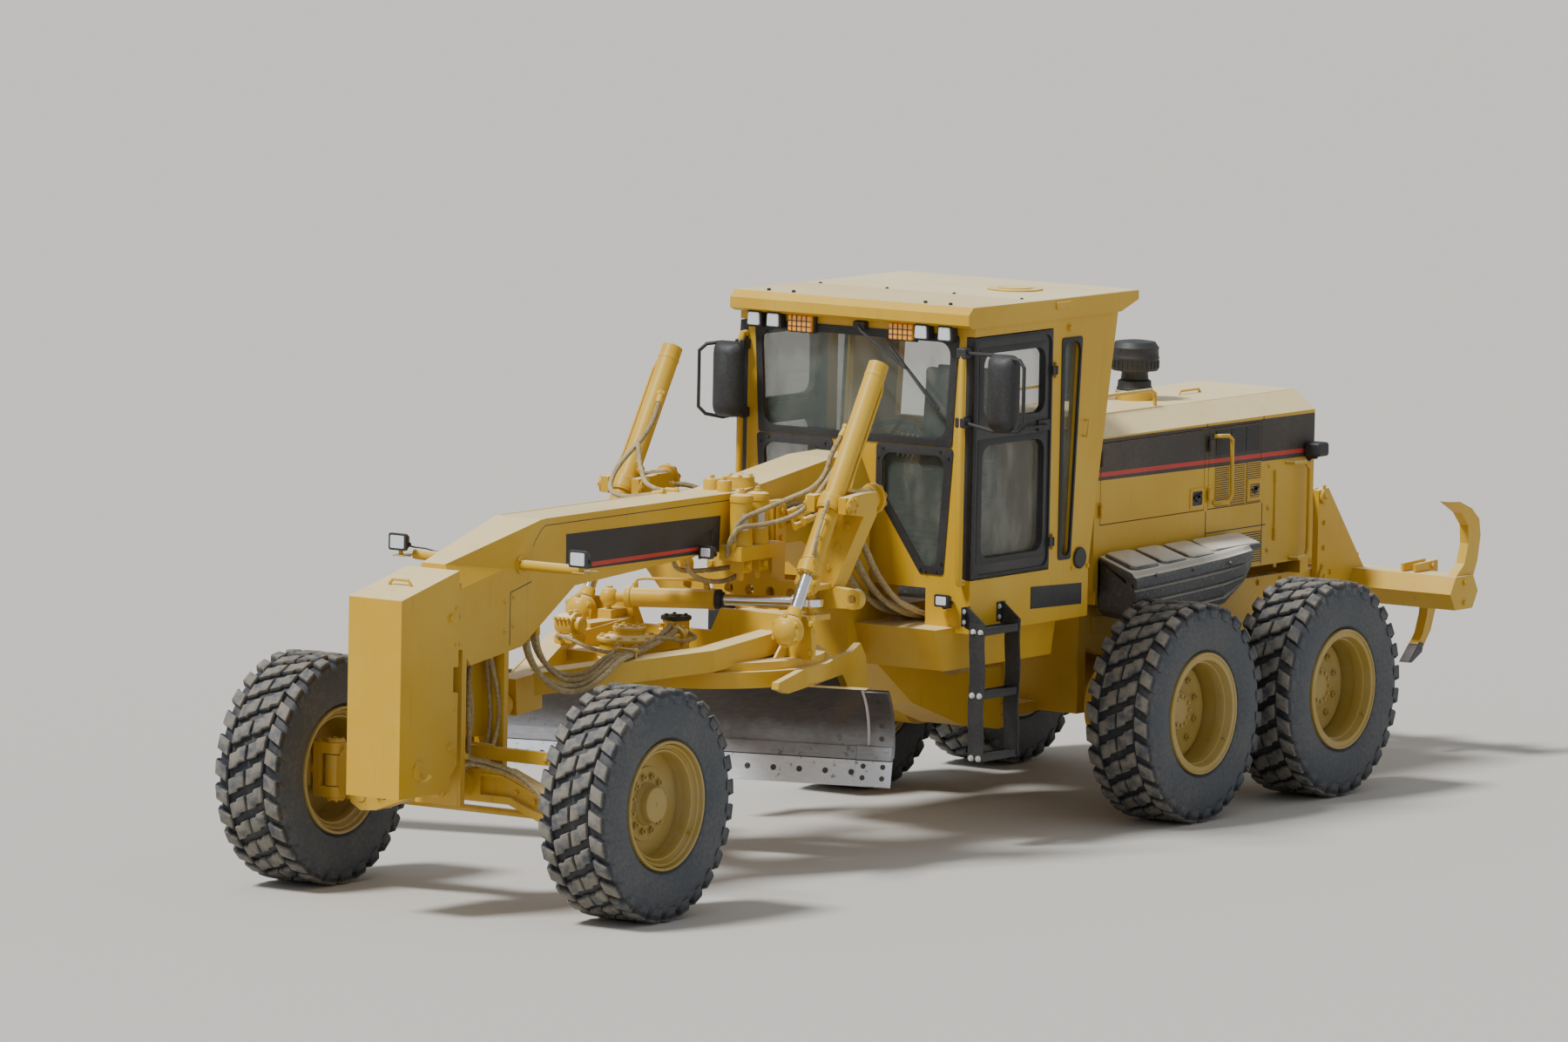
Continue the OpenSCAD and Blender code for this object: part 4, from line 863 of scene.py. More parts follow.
def makeRim(name):
    x, y, sign = wheels[name]
    front = name.startswith("front")
    kind = rim["front" if front else "rear"]
    d, height = kind["disc"], tyre["radius"]
    centre = (x, y, height)
    piece, bolts = Shape(), Shape()
    outer = [(0.286, 0.1), (0.286, 0.148), (0.29, 0.157), (0.298, 0.16), (0.303, 0.157), (0.305, 0.148), (0.31, 0.146),
             (0.312, 0.15), (0.314, 0.176), (0.317, 0.181), (0.323, 0.182), (0.326, 0.178), (0.3275, 0.168), (0.3315, 0.166),
             (0.333, 0.17), (0.335, 0.199), (0.338, 0.204), (0.346, 0.206), (0.351, 0.204), (0.353, 0.199), (0.352, 0.17),
             (0.34, 0.14), (0.325, 0.13), (0.3, 0.1)]
    piece.ring(outer, centre, "x", 72, sign, True)
    piece.ring([(r, -w) for r, w in outer], centre, "x", 72, sign, True)
    if front:
        # the whole rim: barrel, dished disc and the hub's shell round the spindle
        piece.ring([(0.33, -0.186), (0.3243, -0.18), (0.3243, 0.18), (0.33, 0.186), (0.3, 0.15), (0.288, 0.13), (0.284, 0.06),
                    (0.27, d + 0.03), (0.2, d + 0.024), (0.15, d + 0.024), (0.15, d), (0.27, d - 0.004), (0.284, d - 0.03),
                    (0.29, -0.13), (0.3, -0.15)], centre, "x", 72, sign, True)
        piece.ring([(0.2, d + 0.02), (0.2, d + 0.034), (0.118, d + 0.036), (0.112, d + 0.05), (0.104, d + 0.056), (0.099, d + 0.07),
                    (0.098, 0.126), (0.094, 0.133), (0.085, 0.136), (0.0, 0.136), (0.0, 0.118), (0.06, 0.116), (0.06, d - 0.05),
                    (0.098, d - 0.05), (0.15, d - 0.002)], centre, "x", 64, sign, True)
        bolts.bar((x + sign * 0.135, y, height), (x + sign * 0.139, y, height), 0.012, 6, edge=0.001)
    else:
        hub = kind["hub"]
        piece.ring([(0.291, d - 0.03), (0.286, d + 0.004), (0.27, d + 0.02), (0.255, d + 0.022), (0.235, d + 0.012),
                    (0.2, d + 0.004), (hub + 0.035, d + 0.003)], centre, "x", 72, sign, True)
        piece.ring([(hub + 0.03, d), (hub + 0.03, d + 0.012), (hub + 0.003, d + 0.016), (hub + 0.002, 0.036), (hub - 0.008, 0.044),
                    (0.05, 0.046), (0.0, 0.046)], centre, "x", 56, sign)
        bolts.boltCircle((x + sign * 0.0445, y, height), "x", 0.085, 12, 0.01, 0.008, sign, 0)
    seat = (x + sign * (d + kind["seat"]), y, height)
    bolts.boltCircle(seat, "x", kind["circle"], kind["nuts"], 0.017, 0.016, sign)
    for k in range(kind["nuts"]):
        stud = [around(seat, "x", kind["circle"], 2 * math.pi * (k + 0.5) / kind["nuts"], sign * far) for far in (0, 0.032)]
        bolts.bar(*stud, 0.0085, 10, edge=0.002)
    # the valve stem
    piece.bar(around(centre, "x", 0.303, -0.6, sign * 0.155), around(centre, "x", 0.296, -0.6, sign * 0.195), 0.005, 8)
    piece.done("rim_dress_" + name, "wheel_" + name, "rim", 40, ["rim_" + name] if front else [])
    bolts.done("rim_nuts_" + name, "wheel_" + name, "rim", 40)


for name in wheels:
    makeRim(name)
print("rims are dressed")


# gooseneck: dark band with a red line, seams, bolts, lamps on their tubes
beam = {"half": 0.15, "band": [(0.619, 1.963), (2.097, 1.947), (2.087, 1.747), (0.622, 1.757)],
        "line": [(0.863, 1.766), (1.941, 1.771), (1.941, 1.789), (0.863, 1.79)]}


def makeBeam():
    h = beam["half"]
    band, line, seams, trim = Shape(), Shape(), Shape(), Shape()
    for sign in (1, -1):
        band.side(beam["band"], sign, h, h + 0.0015)
        line.side(beam["line"], sign, h + 0.001, h + 0.0025)
        # edge of the side cover and its small screws
        for a, b in (((0.106, 1.687), (0.106, 1.4)), ((0.106, 1.687), (0.3, 1.73)), ((-0.385, 1.8), (-0.385, 1.42))):
            w = 0.0025
            dy, dz = b[0] - a[0], b[1] - a[1]
            n = math.hypot(dy, dz)
            ny, nz = -dz / n * w, dy / n * w
            seams.side([(a[0] + ny, a[1] + nz), (b[0] + ny, b[1] + nz), (b[0] - ny, b[1] - nz), (a[0] - ny, a[1] - nz)], sign, h,
                       h + 0.0012)
        # the joint under the top plate, and where it turns down to the nose
        for a, b in (((0.42, 2.026), (2.26, 2.026)), ((0.42, 2.026), (0.385, 2.005)), ((0.385, 2.005), (0.33, 1.95)),
                     ((0.33, 1.95), (0.31, 1.92))):
            seams.side([(a[0], a[1] + 0.002), (b[0], b[1] + 0.002), (b[0], b[1] - 0.002), (a[0], a[1] - 0.002)], sign, h,
                       h + 0.0012)
        screws = ((0.14, 1.66), (0.14, 1.5), (0.06, 1.64), (0.06, 1.48), (-0.36, 1.77), (-0.36, 1.6), (-0.36, 1.45))
        trim.bolts([(sign * (h + 0.0005), y, z) for y, z in screws], (sign, 0, 0), 0.009, 0.006)
        # weld beads along the box's top edges
        trim.tube([(sign * (h - 0.004), 0.42, 2.062), (sign * (h - 0.004), 2.2, 2.062)], 0.004, 6)
        trim.tube([(sign * (h - 0.004), 0.75, 1.739), (sign * (h - 0.004), 1.85, 1.739)], 0.005, 6)
    band.done("beam_band", "front_frame", "black")
    line.done("beam_line", "front_frame", "red")
    seams.done("beam_seams", "front_frame", "black")
    trim.done("beam_trim", "front_frame", "banded")


def makeFrontLamps():
    tubes, cases, lens = Shape(), Shape(), Shape()
    for sign in (1, -1):
        tubes.bar((sign * 0.1503, 0.2, 1.83), (sign * 0.156, 0.2, 1.83), 0.052, 28, edge=0.001)
        tubes.boltCircle((sign * 0.156, 0.2, 1.83), "x", 0.04, 4, 0.0065, 0.005, sign)
        tubes.tube([(sign * 0.152, 0.2, 1.83), (sign * 0.5, 0.2, 1.83), (sign * 0.562, 0.2, 1.833)], 0.0278, 24)
        x = sign * 0.602
        tubes.box((x - 0.04, 0.095, 1.826), (x + 0.04, 0.235, 1.832), 0.002)
        tubes.bar((x, 0.125, 1.83), (x, 0.125, 1.862), 0.013, 12)
        tubes.bolt((x, 0.2, 1.826), (0, 0, -1), 0.011, 0.008)
        lampCase(cases, lens, (x, 0.125, 1.905), 0.06, 0.047)
        cases.tube([(x, 0.155, 1.885), (x - sign * 0.02, 0.215, 1.868), (x - sign * 0.08, 0.245, 1.862), (sign * 0.4, 0.232, 1.847),
                    (sign * 0.2, 0.232, 1.845)], 0.005, 6)
    tubes.done("lamp_tubes", "front_frame", "yellow", hides=["front_lamps"])
    cases.done("front_lamp_cases", "front_frame", "plastic")
    lens.done("front_lamp_glass", "front_frame", "lens")


# a square work lamp that looks to the front: tapered case, bezel, lens and side nuts
def lampCase(cases, lens, centre, half, tall):
    x, y, z = centre
    rings = []
    for d, k in ((0.034, 0.5), (0.028, 0.62), (-0.012, 0.94), (-0.02, 1.0), (-0.034, 1.0), (-0.036, 0.96)):
        rings.append([(x + a, y + d, z + b) for a, b in eased(rect(-half * k, -tall * k, half * k, tall * k), 0.012 * k)])
    cases.loft(rings)
    lens.plate([(x + a, z + b) for a, b in eased(rect(-half + 0.014, -tall + 0.012, half - 0.014, tall - 0.012), 0.008)], y - 0.039,
               y - 0.0355, "y", 0.001)
    for side in (-1, 1):
        cases.bolt((x + side * half * 0.93, y, z - tall * 0.3), (side, 0, 0), 0.008, 0.006)


makeBeam()
makeFrontLamps()
print("gooseneck and its lamps are dressed")


# front weight: a tow pin with its handle, mounting bolts and a lifting eye
def makeWeight():
    piece, pins = Shape(), Shape()
    for sign in (1, -1):
        x = sign * 0.175
        pins.bar((x - sign * 0.002, -0.752, 0.799), (x + sign * 0.012, -0.752, 0.799), 0.05, 28, edge=0.002)
        piece.bolt((x, -0.47, 0.9), (sign, 0, 0), 0.02, 0.012)
        piece.bolt((x, -0.47, 1.6), (sign, 0, 0), 0.02, 0.012)
        pins.bolts([(x, -0.425, z) for z in (0.86, 1.1, 1.45, 1.65)], (sign, 0, 0), 0.008, 0.005)
    piece.tube([(0.07, -0.7, 1.757), (0.07, -0.7, 1.79), (0.05, -0.7, 1.812), (-0.05, -0.7, 1.812), (-0.07, -0.7, 1.79),
                (-0.07, -0.7, 1.757)], 0.009, 10)
    piece.tube([(0.176, -0.752, 0.77), (0.2, -0.752, 0.75), (0.23, -0.752, 0.757), (0.252, -0.74, 0.78)], 0.011, 10)
    piece.done("weight_fittings", "front_frame", "yellow")
    pins.done("weight_collars", "front_frame", "yellow")


makeWeight()
print("front weight is dressed")


# points of a smooth line through a few places, evenly spaced
def smoothLine(points, count):
    p = [Vector(q) for q in points]
    p = [p[0] * 2 - p[1]] + p + [p[-1] * 2 - p[-2]]
    fine = []
    for i in range(1, len(p) - 2):
        for k in range(24):
            t = k / 24
            bend = 2 * p[i - 1] - 5 * p[i] + 4 * p[i + 1] - p[i + 2]
            twist = 3 * p[i] - p[i - 1] - 3 * p[i + 1] + p[i + 2]
            fine.append(0.5 * ((2 * p[i]) + (p[i + 1] - p[i - 1]) * t + bend * t * t + twist * t ** 3))
    fine.append(p[-2])
    for turn in range(12):
        fine = [fine[0]] + [(fine[i - 1] + fine[i] * 2 + fine[i + 1]) / 4 for i in range(1, len(fine) - 1)] + [fine[-1]]
    run = [0.0]
    for a, b in zip(fine, fine[1:]):
        run.append(run[-1] + (b - a).length)
    out, j = [], 0
    for k in range(count):
        want = run[-1] * k / (count - 1)
        while j < len(run) - 2 and run[j + 1] < want:
            j += 1
        share = (want - run[j]) / max(1e-9, run[j + 1] - run[j])
        out.append(fine[j].lerp(fine[j + 1], min(1, share)))
    return out


# one hydraulic hose with a crimped fitting and a nut at each end
def makeHose(name, body, width, points):
    length = sum((Vector(b) - Vector(a)).length for a, b in zip(points, points[1:]))
    line = [q + origin for q in smoothLine(points, max(15, min(40, int(length / (width * 1.2)))))]
    curve = bpy.data.curves.new(name, "CURVE")
    curve.dimensions = "3D"
    spline = curve.splines.new("POLY")
    spline.points.add(len(line) - 1)
    for point, q in zip(spline.points, line):
        point.co = (*q, 1)
    curve.bevel_depth = width / 2
    curve.bevel_resolution = 2
    curve.use_fill_caps = True
    curve.materials.append(mats["hose"])
    piece = addObject(name, curve)
    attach(piece, body)
    real = sum((b - a).length for a, b in zip(line, line[1:]))
    ends = Shape()
    for a, b in ((line[0] - origin, line[1] - origin), (line[-1] - origin, line[-2] - origin)):
        way = (b - a).normalized()
        ends.bar(a - way * 0.012, a + way * 0.045, width * 0.66, 12, edge=0.002)
        ends.bar(a - way * 0.03, a - way * 0.008, width * 0.85, 6, edge=0.002)
    ends.done(name + "_ends", body, "yellow")


# saddle: pivot tubes with bolted ends, bearing caps, a lug, accumulators and valve blocks
saddle = {"trunnion": (0.7, 2.38, 2.03), "stud": (0.7, 1.98, 1.36), "accumulators": [(0.24, 2.17), (0.24, 2.33)]}


def makeSaddle():
    piece, bolts, labels = Shape(), Shape(), Shape()
    for sign in (1, -1):
        x, y, z = saddle["trunnion"]
        x *= sign
        # pivot tube to the rear of the arm, with a clamped and bolted end
        piece.ring([(0.0, 2.64), (0.064, 2.64), (0.064, 2.73), (0.069, 2.735), (0.069, 2.755), (0.064, 2.76), (0.064, 2.775),
                    (0.083, 2.778), (0.086, 2.782), (0.086, 2.798), (0.083, 2.802), (0.05, 2.804), (0.046, 2.812), (0.0, 2.812)],
                   (x, 0, z), "y", 40)
        bolts.boltCircle((x, 2.802, z), "y", 0.073, 10)
        # thrust collars on the outer faces of the lugs
        for face, way in ((0.83, 1), (0.57, -1)):
            cx = sign * face
            piece.ring([(0.0, 0.0), (0.05, 0.0), (0.052, 0.004), (0.052, 0.014), (0.047, 0.019), (0.03, 0.02), (0.0, 0.02)],
                       (cx, y, z), "x", 32, sign * way)
            bolts.boltCircle((cx + sign * way * 0.0195, y, z), "x", 0.038, 6, 0.008, 0.006, sign * way, 0)
        # bolt rows where the arm's halves meet
        for z0 in (1.66, 1.78, 1.9):
            bolts.bolt((sign * (0.44 + (z0 - 1.6) * 0.42), 2.5095, z0), (0, -1, 0), 0.014, 0.01)
            bolts.bolt((sign * (0.57 + (z0 - 1.6) * 0.52), 2.5095, z0), (0, -1, 0), 0.014, 0.01)
        bolts.bolts([(sign * 0.19, 2.5095, z0 + 0.02) for z0 in (1.6, 1.7)], (0, -1, 0), 0.016, 0.012)
        # clamp plate on the beam's side, with its bolts
        piece.side(eased(rect(2.53, 1.75, 2.62, 1.98), 0.012), sign, 0.2205, 0.236, 0.003)
        bolts.bolts([(sign * 0.236, 2.575, z0) for z0 in (1.79, 1.865, 1.94)], (sign, 0, 0), 0.015, 0.011)
    # bearing cap of the side-shift cylinder's rod, and the lug beyond it
    cx, cz = 0.56, 1.47
    piece.ring([(0.0, 2.335), (0.03, 2.336), (0.066, 2.345), (0.078, 2.358), (0.08, 2.372), (0.0, 2.372)], (cx, 0, cz + 0.115), "y",
               36)
    bolts.boltCircle((cx, 2.345, cz + 0.115), "y", 0.055, 6, 0.011, 0.008, -1, 0)
    piece.plate([(0.515, 1.425), (0.74, 1.435), (0.74, 1.545), (0.6, 1.56)], 2.515, 2.565, "y", 0.004)
    piece.ring([(0.028, 0), (0.055, 0), (0.058, 0.003), (0.058, 0.053), (0.055, 0.056), (0.028, 0.056)], (0.76, 2.512, 1.49), "y",
               32, 1, True)
    # accumulators with bands, crowned caps and plain labels
    for x, y in saddle["accumulators"]:
        piece.ring([(0.0, 1.779), (0.058, 1.779), (0.066, 1.784), (0.066, 1.822), (0.063, 1.827), (0.0625, 2.02), (0.066, 2.024),
                    (0.066, 2.048), (0.06, 2.062), (0.04, 2.07), (0.022, 2.072), (0.022, 2.084), (0.0, 2.084)], (x, y, 0), "z", 40)
        bolts.bar((x, y, 2.08), (x, y, 2.1), 0.015, 6, edge=0.003)
        piece.ring([(0.0, 1.71), (0.035, 1.71), (0.038, 1.714), (0.038, 1.78)], (x + 0.02, y, 0), "z", 28)
        bent = [(0.0628, -0.9), (0.0628, -0.6), (0.0628, -0.3), (0.0645, -0.3), (0.0645, -0.6), (0.0645, -0.9)]
        labels.loft([[around((x, y, z0), "z", r, t) for r, t in bent] for z0 in (1.87, 1.965)])
    for y0 in (2.13, 2.29):
        piece.box((0.2, y0, 1.63), (0.285, y0 + 0.085, 1.715), 0.004)
        piece.bar((0.285, y0 + 0.03, 1.67), (0.315, y0 + 0.03, 1.67), 0.02, 6, edge=0.003)
        piece.bar((0.24, y0 + 0.042, 1.585), (0.24, y0 + 0.042, 1.63), 0.022, 6, edge=0.003)
        bolts.bolts([(0.285, y0 + 0.07, 1.63 + dz) for dz in (0.018, 0.066)], (1, 0, 0), 0.007, 0.005)
    # swivel and valve on the beam's top and sides
    piece.ring([(0.0, 2.05), (0.085, 2.05), (0.085, 2.1), (0.078, 2.11), (0.078, 2.135), (0.05, 2.145), (0.0, 2.147)],
               (0.06, 2.42, 0), "z", 36)
    bolts.boltCircle((0.06, 2.42, 2.138), "z", 0.062, 6, 0.01, 0.008, 1, 0)
    for x, y, r in ((-0.05, 2.3, 0.05), (0.06, 2.26, 0.042)):
        piece.ring([(0.0, 2.06), (r, 2.06), (r, 2.115), (r - 0.006, 2.124), (0.0, 2.126)], (x, y, 0), "z", 30)
        bolts.bar((x, y, 2.126), (x, y, 2.145), 0.014, 6, edge=0.002)
    piece.box((-0.14, 2.36, 2.055), (-0.02, 2.5, 2.12), 0.006)
    for k in range(4):
        piece.bar((-0.12 + k * 0.028, 2.36, 2.09), (-0.12 + k * 0.028, 2.325, 2.09), 0.011, 6, edge=0.002)
    piece.done("saddle_fittings", "front_frame", "yellow", 40)
    bolts.done("saddle_bolts", "front_frame", "yellow", 40)
    labels.done("plain_labels", "front_frame", "label")


makeSaddle()


# lift cylinders: bands, a bolted gland, a steel line along the barrel, and a rod with a capped ball seat
def makeLift(side):
    sign = sides[side]
    stud, pin = (Vector((sign * saddle[k][0], *saddle[k][1:])) for k in ("stud", "trunnion"))
    way = (pin - stud).normalized()
    top, gland = pin + way * 0.87, stud + way * 0.35
    across = way.cross(Vector((sign, 0, 0))).normalized()
    body, bolts = Shape(), Shape()
    def collar(at, r, tall, lip=0.004):
        body.bar(at - way * tall / 2, at + way * tall / 2, r, 40, edge=lip)
    body.bar(gland + way * 0.03, top - way * 0.045, 0.0583, 44)
    body.bar(top - way * 0.048, top - way * 0.006, 0.0565, 44, edge=0.004)
    collar(top - way * 0.075, 0.0605, 0.022)
    body.bar(gland - way * 0.004, gland + way * 0.062, 0.0685, 40, edge=0.006)
    collar(gland + way * 0.08, 0.0615, 0.012)
    collar(pin, 0.0765, 0.085, 0.01)
    bolts.bolts(body.circle(gland, Vector((sign, 0, 0)), across, 0.055, 8, 0.5), -way, 0.01, 0.01)
    # ports and the line that joins them
    port = gland + way * 0.11
    out = (Vector((sign * 0.55, 0, 0)) - across * 0.83).normalized()
    for at in (port, pin - way * 0.12):
        body.bar(at + out * 0.05, at + out * 0.078, 0.017, 6, edge=0.003)
    body.tube([port + out * 0.07, port + out * 0.09 + way * 0.02, port + out * 0.082 + way * 0.08,
               pin - way * 0.22 + out * 0.08, pin - way * 0.14 + out * 0.085, pin - way * 0.12 + out * 0.07], 0.0085, 10)
    for share in (0.3, 0.62):
        at = port + (pin - port) * share
        body.bar(at + out * 0.056, at + out * 0.096, 0.009, 8, edge=0.002)
    # a second line runs up to the closed end
    out = (Vector((sign * 0.9, 0, 0)) + across * 0.43).normalized()
    body.tube([pin + way * 0.1 + out * 0.062, pin + way * 0.13 + out * 0.074, pin + way * 0.2 + out * 0.068,
               top - way * 0.16 + out * 0.066, top - way * 0.1 + out * 0.056], 0.0075, 10)
    body.done("lift_barrel_dress_" + side, "lift_cylinder_" + side, "yellow", 40)
    bolts.done("gland_bolts_" + side, "lift_cylinder_" + side, "yellow", 40)
    rod, seat = Shape(), Shape()
    rod.bar(stud + way * 0.09, top - way * 0.43, 0.034, 40, edge=0.003)
    rod.done("lift_rod_chrome_" + side, "lift_piston_" + side, "chrome", 40, ["lift_rod_" + side])
    x, y, z = stud
    seat.ring([(0.064, 0.03), (0.066, 0.034), (0.08, 0.034), (0.086, 0.028), (0.086, -0.012), (0.09, -0.016), (0.09, -0.03),
               (0.086, -0.034), (0.076, -0.038), (0.068, -0.056), (0.046, -0.074), (0.02, -0.081), (0.0, -0.082),
               (0.0, -0.077), (0.02, -0.075), (0.042, -0.068), (0.058, -0.05), (0.064, -0.034)], (x, y, z), "y", 44, 1, True)
    seat.bar(stud + way * 0.078, stud + way * 0.135, 0.05, 32, 0.04, edge=0.004)
    seat.boltCircle((x, y - 0.034, z), "y", 0.08, 6, 0.011, 0.01, -1)
    seat.done("ball_seat_" + side, "lift_piston_" + side, "yellow", 40)


for side in sides:
    makeLift(side)
print("saddle and lift cylinders are dressed")

# circle drive on the drawbar: bolted gear case, worm housing, motor and swivel
drive = {"case": (0.0, 1.45), "swivel": (0.0, 1.9), "motor": (-0.3, 1.3)}


def makeDrive():
    piece, bolts, dark = Shape(), Shape(), Shape()
    x, y = drive["case"]
    piece.ring([(0.155, 1.29), (0.178, 1.291), (0.181, 1.295), (0.181, 1.31), (0.178, 1.314), (0.12, 1.318), (0.1, 1.322),
                (0.088, 1.33), (0.088, 1.352), (0.094, 1.356), (0.094, 1.37), (0.09, 1.374), (0.0, 1.375)], (x, y, 0), "z", 56)
    bolts.boltCircle((x, y, 1.315), "z", 0.158, 12, 0.012)
    bolts.boltCircle((x, y, 1.3745), "z", 0.074, 6, 0.01)
    bolts.bar((x, y, 1.374), (x, y, 1.386), 0.016, 6, edge=0.002)
    piece.ring([(0.165, 1.188), (0.174, 1.19), (0.174, 1.2), (0.167, 1.206)], (x, y, 0), "z", 56, 1, True)
    # worm housing runs back to the motor's flange
    piece.plate(eased([(0.03, 1.5), (0.135, 1.5), (0.125, 1.78), (0.04, 1.78)], 0.02), 1.225, 1.315, "z", 0.012)
    piece.ring([(0.0, 1.765), (0.062, 1.768), (0.066, 1.774), (0.066, 1.79), (0.05, 1.796), (0.05, 1.855), (0.044, 1.875),
                (0.028, 1.888), (0.0, 1.893)], (0.085, 0, 1.285), "y", 36)
    bolts.boltCircle((0.085, 1.7915, 1.285), "y", 0.054, 4, 0.008, 0.007)
    for dx in (-0.02, 0.022):
        piece.bar((0.085 + dx, 1.815, 1.33), (0.085 + dx, 1.815, 1.352), 0.014, 6, edge=0.002)
    # swivel: dark cap, bolts and two rows of ports
    x, y = drive["swivel"]
    piece.ring([(0.075, 1.262), (0.098, 1.264), (0.1, 1.268), (0.1, 1.282), (0.098, 1.285), (0.075, 1.287)], (x, y, 0), "z", 44, 1,
               True)
    bolts.boltCircle((x, y, 1.2855), "z", 0.087, 8, 0.009)
    dark.ring([(0.0, 1.3705), (0.082, 1.371), (0.086, 1.375), (0.086, 1.39), (0.082, 1.394), (0.03, 1.395), (0.028, 1.4),
               (0.0, 1.401)], (x, y, 0), "z", 44)
    dark.boltCircle((x, y, 1.394), "z", 0.055, 4, 0.009)
    for z in (1.31, 1.345):
        for k in range(5):
            piece.bar(*(around((x, y, z), "z", r, 2.3 + 0.62 * k) for r in (0.07, 0.098)), 0.011, 6, edge=0.002)
    # turning motor on its foot
    x, y = drive["motor"]
    piece.box((x - 0.06, y - 0.06, 1.268), (x + 0.06, y + 0.07, 1.318), 0.006)
    bolts.bolts([(x + a, y + b, 1.318) for a, b in rect(-0.045, -0.045, 0.045, 0.055)], (0, 0, 1), 0.009, 0.007)
    piece.ring([(0.0, -0.085), (0.035, -0.083), (0.052, -0.072), (0.06, -0.055), (0.062, -0.03), (0.062, 0.03), (0.068, 0.034),
                (0.068, 0.05), (0.062, 0.054), (0.045, 0.056), (0.045, 0.085), (0.03, 0.092), (0.0, 0.093)], (x, y + 0.005, 1.372),
               "x", 40)
    bolts.boltCircle((x + 0.0515, y + 0.005, 1.372), "x", 0.056, 4, 0.008, 0.007)
    for k in range(4):
        piece.bar((x - 0.05 + 0.028 * k, y - 0.05, 1.4), (x - 0.05 + 0.028 * k, y - 0.078, 1.412), 0.011, 6, edge=0.002)
    for dy in (-0.02, 0.03):
        piece.bar((x + 0.02, y + dy, 1.43), (x + 0.02, y + dy, 1.452), 0.013, 6, edge=0.002)
    # stiffeners and weld beads on the drawbar's arms and yoke plate
    for sign in (1, -1):
        piece.tube([(sign * 0.5, 2.094, 1.19), (sign * 0.72, 2.094, 1.19)], 0.006, 6)
        piece.tube([(sign * 0.072, 0.44, 1.204), (sign * 0.3, 0.92, 1.242)], 0.006, 6)
        piece.side([(2.093, 1.2), (1.98, 1.2), (2.093, 1.32)], sign, 0.6, 0.616, 0.002)
        bolts.bolts([(sign * 0.77, 2.0945, z0) for z0 in (1.23, 1.39)], (0, -1, 0), 0.013, 0.01)
        # capped studs of the lift cylinders
        piece.bar((sign * 0.7, 1.935, 1.36), (sign * 0.7, 1.945, 1.36), 0.022, 8, edge=0.003)
    # clamp strap over the hoses on the left arm
    piece.tube([(0.2, 1.06, 1.25), (0.2, 1.06, 1.292), (0.21, 1.06, 1.302), (0.31, 1.06, 1.302), (0.32, 1.06, 1.292),
                (0.32, 1.06, 1.25)], 0.006, 6)
    piece.bolt((0.2, 1.06, 1.3), (0, 0, 1), 0.009, 0.007)
    piece.bolt((0.32, 1.06, 1.3), (0, 0, 1), 0.009, 0.007)
    piece.done("drive_case", "draft_frame", "banded", 40)
    bolts.done("drive_bolts", "draft_frame", "yellow", 40)
    dark.done("swivel_cap", "draft_frame", "black", 40)


# side-shift cylinder: black gland collar, head plug, port blocks and the line between them
def makeShift():
    a, b = Vector((-0.52, 1.99, 1.45)), Vector((0.56, 2.4, 1.47))
    way = (b - a).normalized()
    up = (Vector((0, 0, 1)) - way * way.z).normalized()
    front = way.cross(up)
    piece, dark = Shape(), Shape()
    dark.bar(a + way * 0.612, a + way * 0.646, 0.058, 36, edge=0.004)
    dark.bar(a + way * 0.64, a + way * 0.662, 0.044, 36, edge=0.004)
    piece.bar(a + way * 0.58, a + way * 0.61, 0.0605, 36, edge=0.004)
    piece.bar(a + way * 0.1, a + way * 0.13, 0.0605, 36, edge=0.004)
    for at in (0.15, 0.56):
        piece.bar(a + way * at + up * 0.05, a + way * at + up * 0.083, 0.017, 6, edge=0.003)
    piece.tube([a + way * 0.15 + up * 0.08, a + way * 0.165 + up * 0.1, a + way * 0.2 + up * 0.106, a + way * 0.5 + up * 0.106,
                a + way * 0.54 + up * 0.1, a + way * 0.56 + up * 0.08], 0.0085, 10)
    piece.ball(a, 0.0535, 28)
    piece.bar(a + up * 0.045, a + up * 0.06, 0.02, 6, edge=0.003)
    piece.done("shift_barrel_dress", "shift_cylinder", "yellow", 40)
    dark.done("shift_gland", "shift_cylinder", "black", 40)
    rod = Shape()
    rod.bar(a + way * 0.245, b - way * 0.055, 0.0305, 36, edge=0.002)
    rod.bar(b - way * 0.105, b - way * 0.055, 0.044, 28, edge=0.004)
    rod.done("shift_rod_sleeve", "shift_piston", "chrome", 40)


makeDrive()
makeShift()

# blade: bolted edge, wear plates with a weld strip, end bits and top lip; a runs along it, b across
blade = {"left": 1.05, "right": -2.61, "angle": 16, "pitch": 0.1525, "radius": 0.38, "b": -0.015, "z": 0.69}


def bladeFace(z, out=0.0):
    t = math.asin((z - blade["z"]) / blade["radius"])
    r = blade["radius"] - out
    return (blade["b"] + r * math.cos(t), blade["z"] + r * math.sin(t))


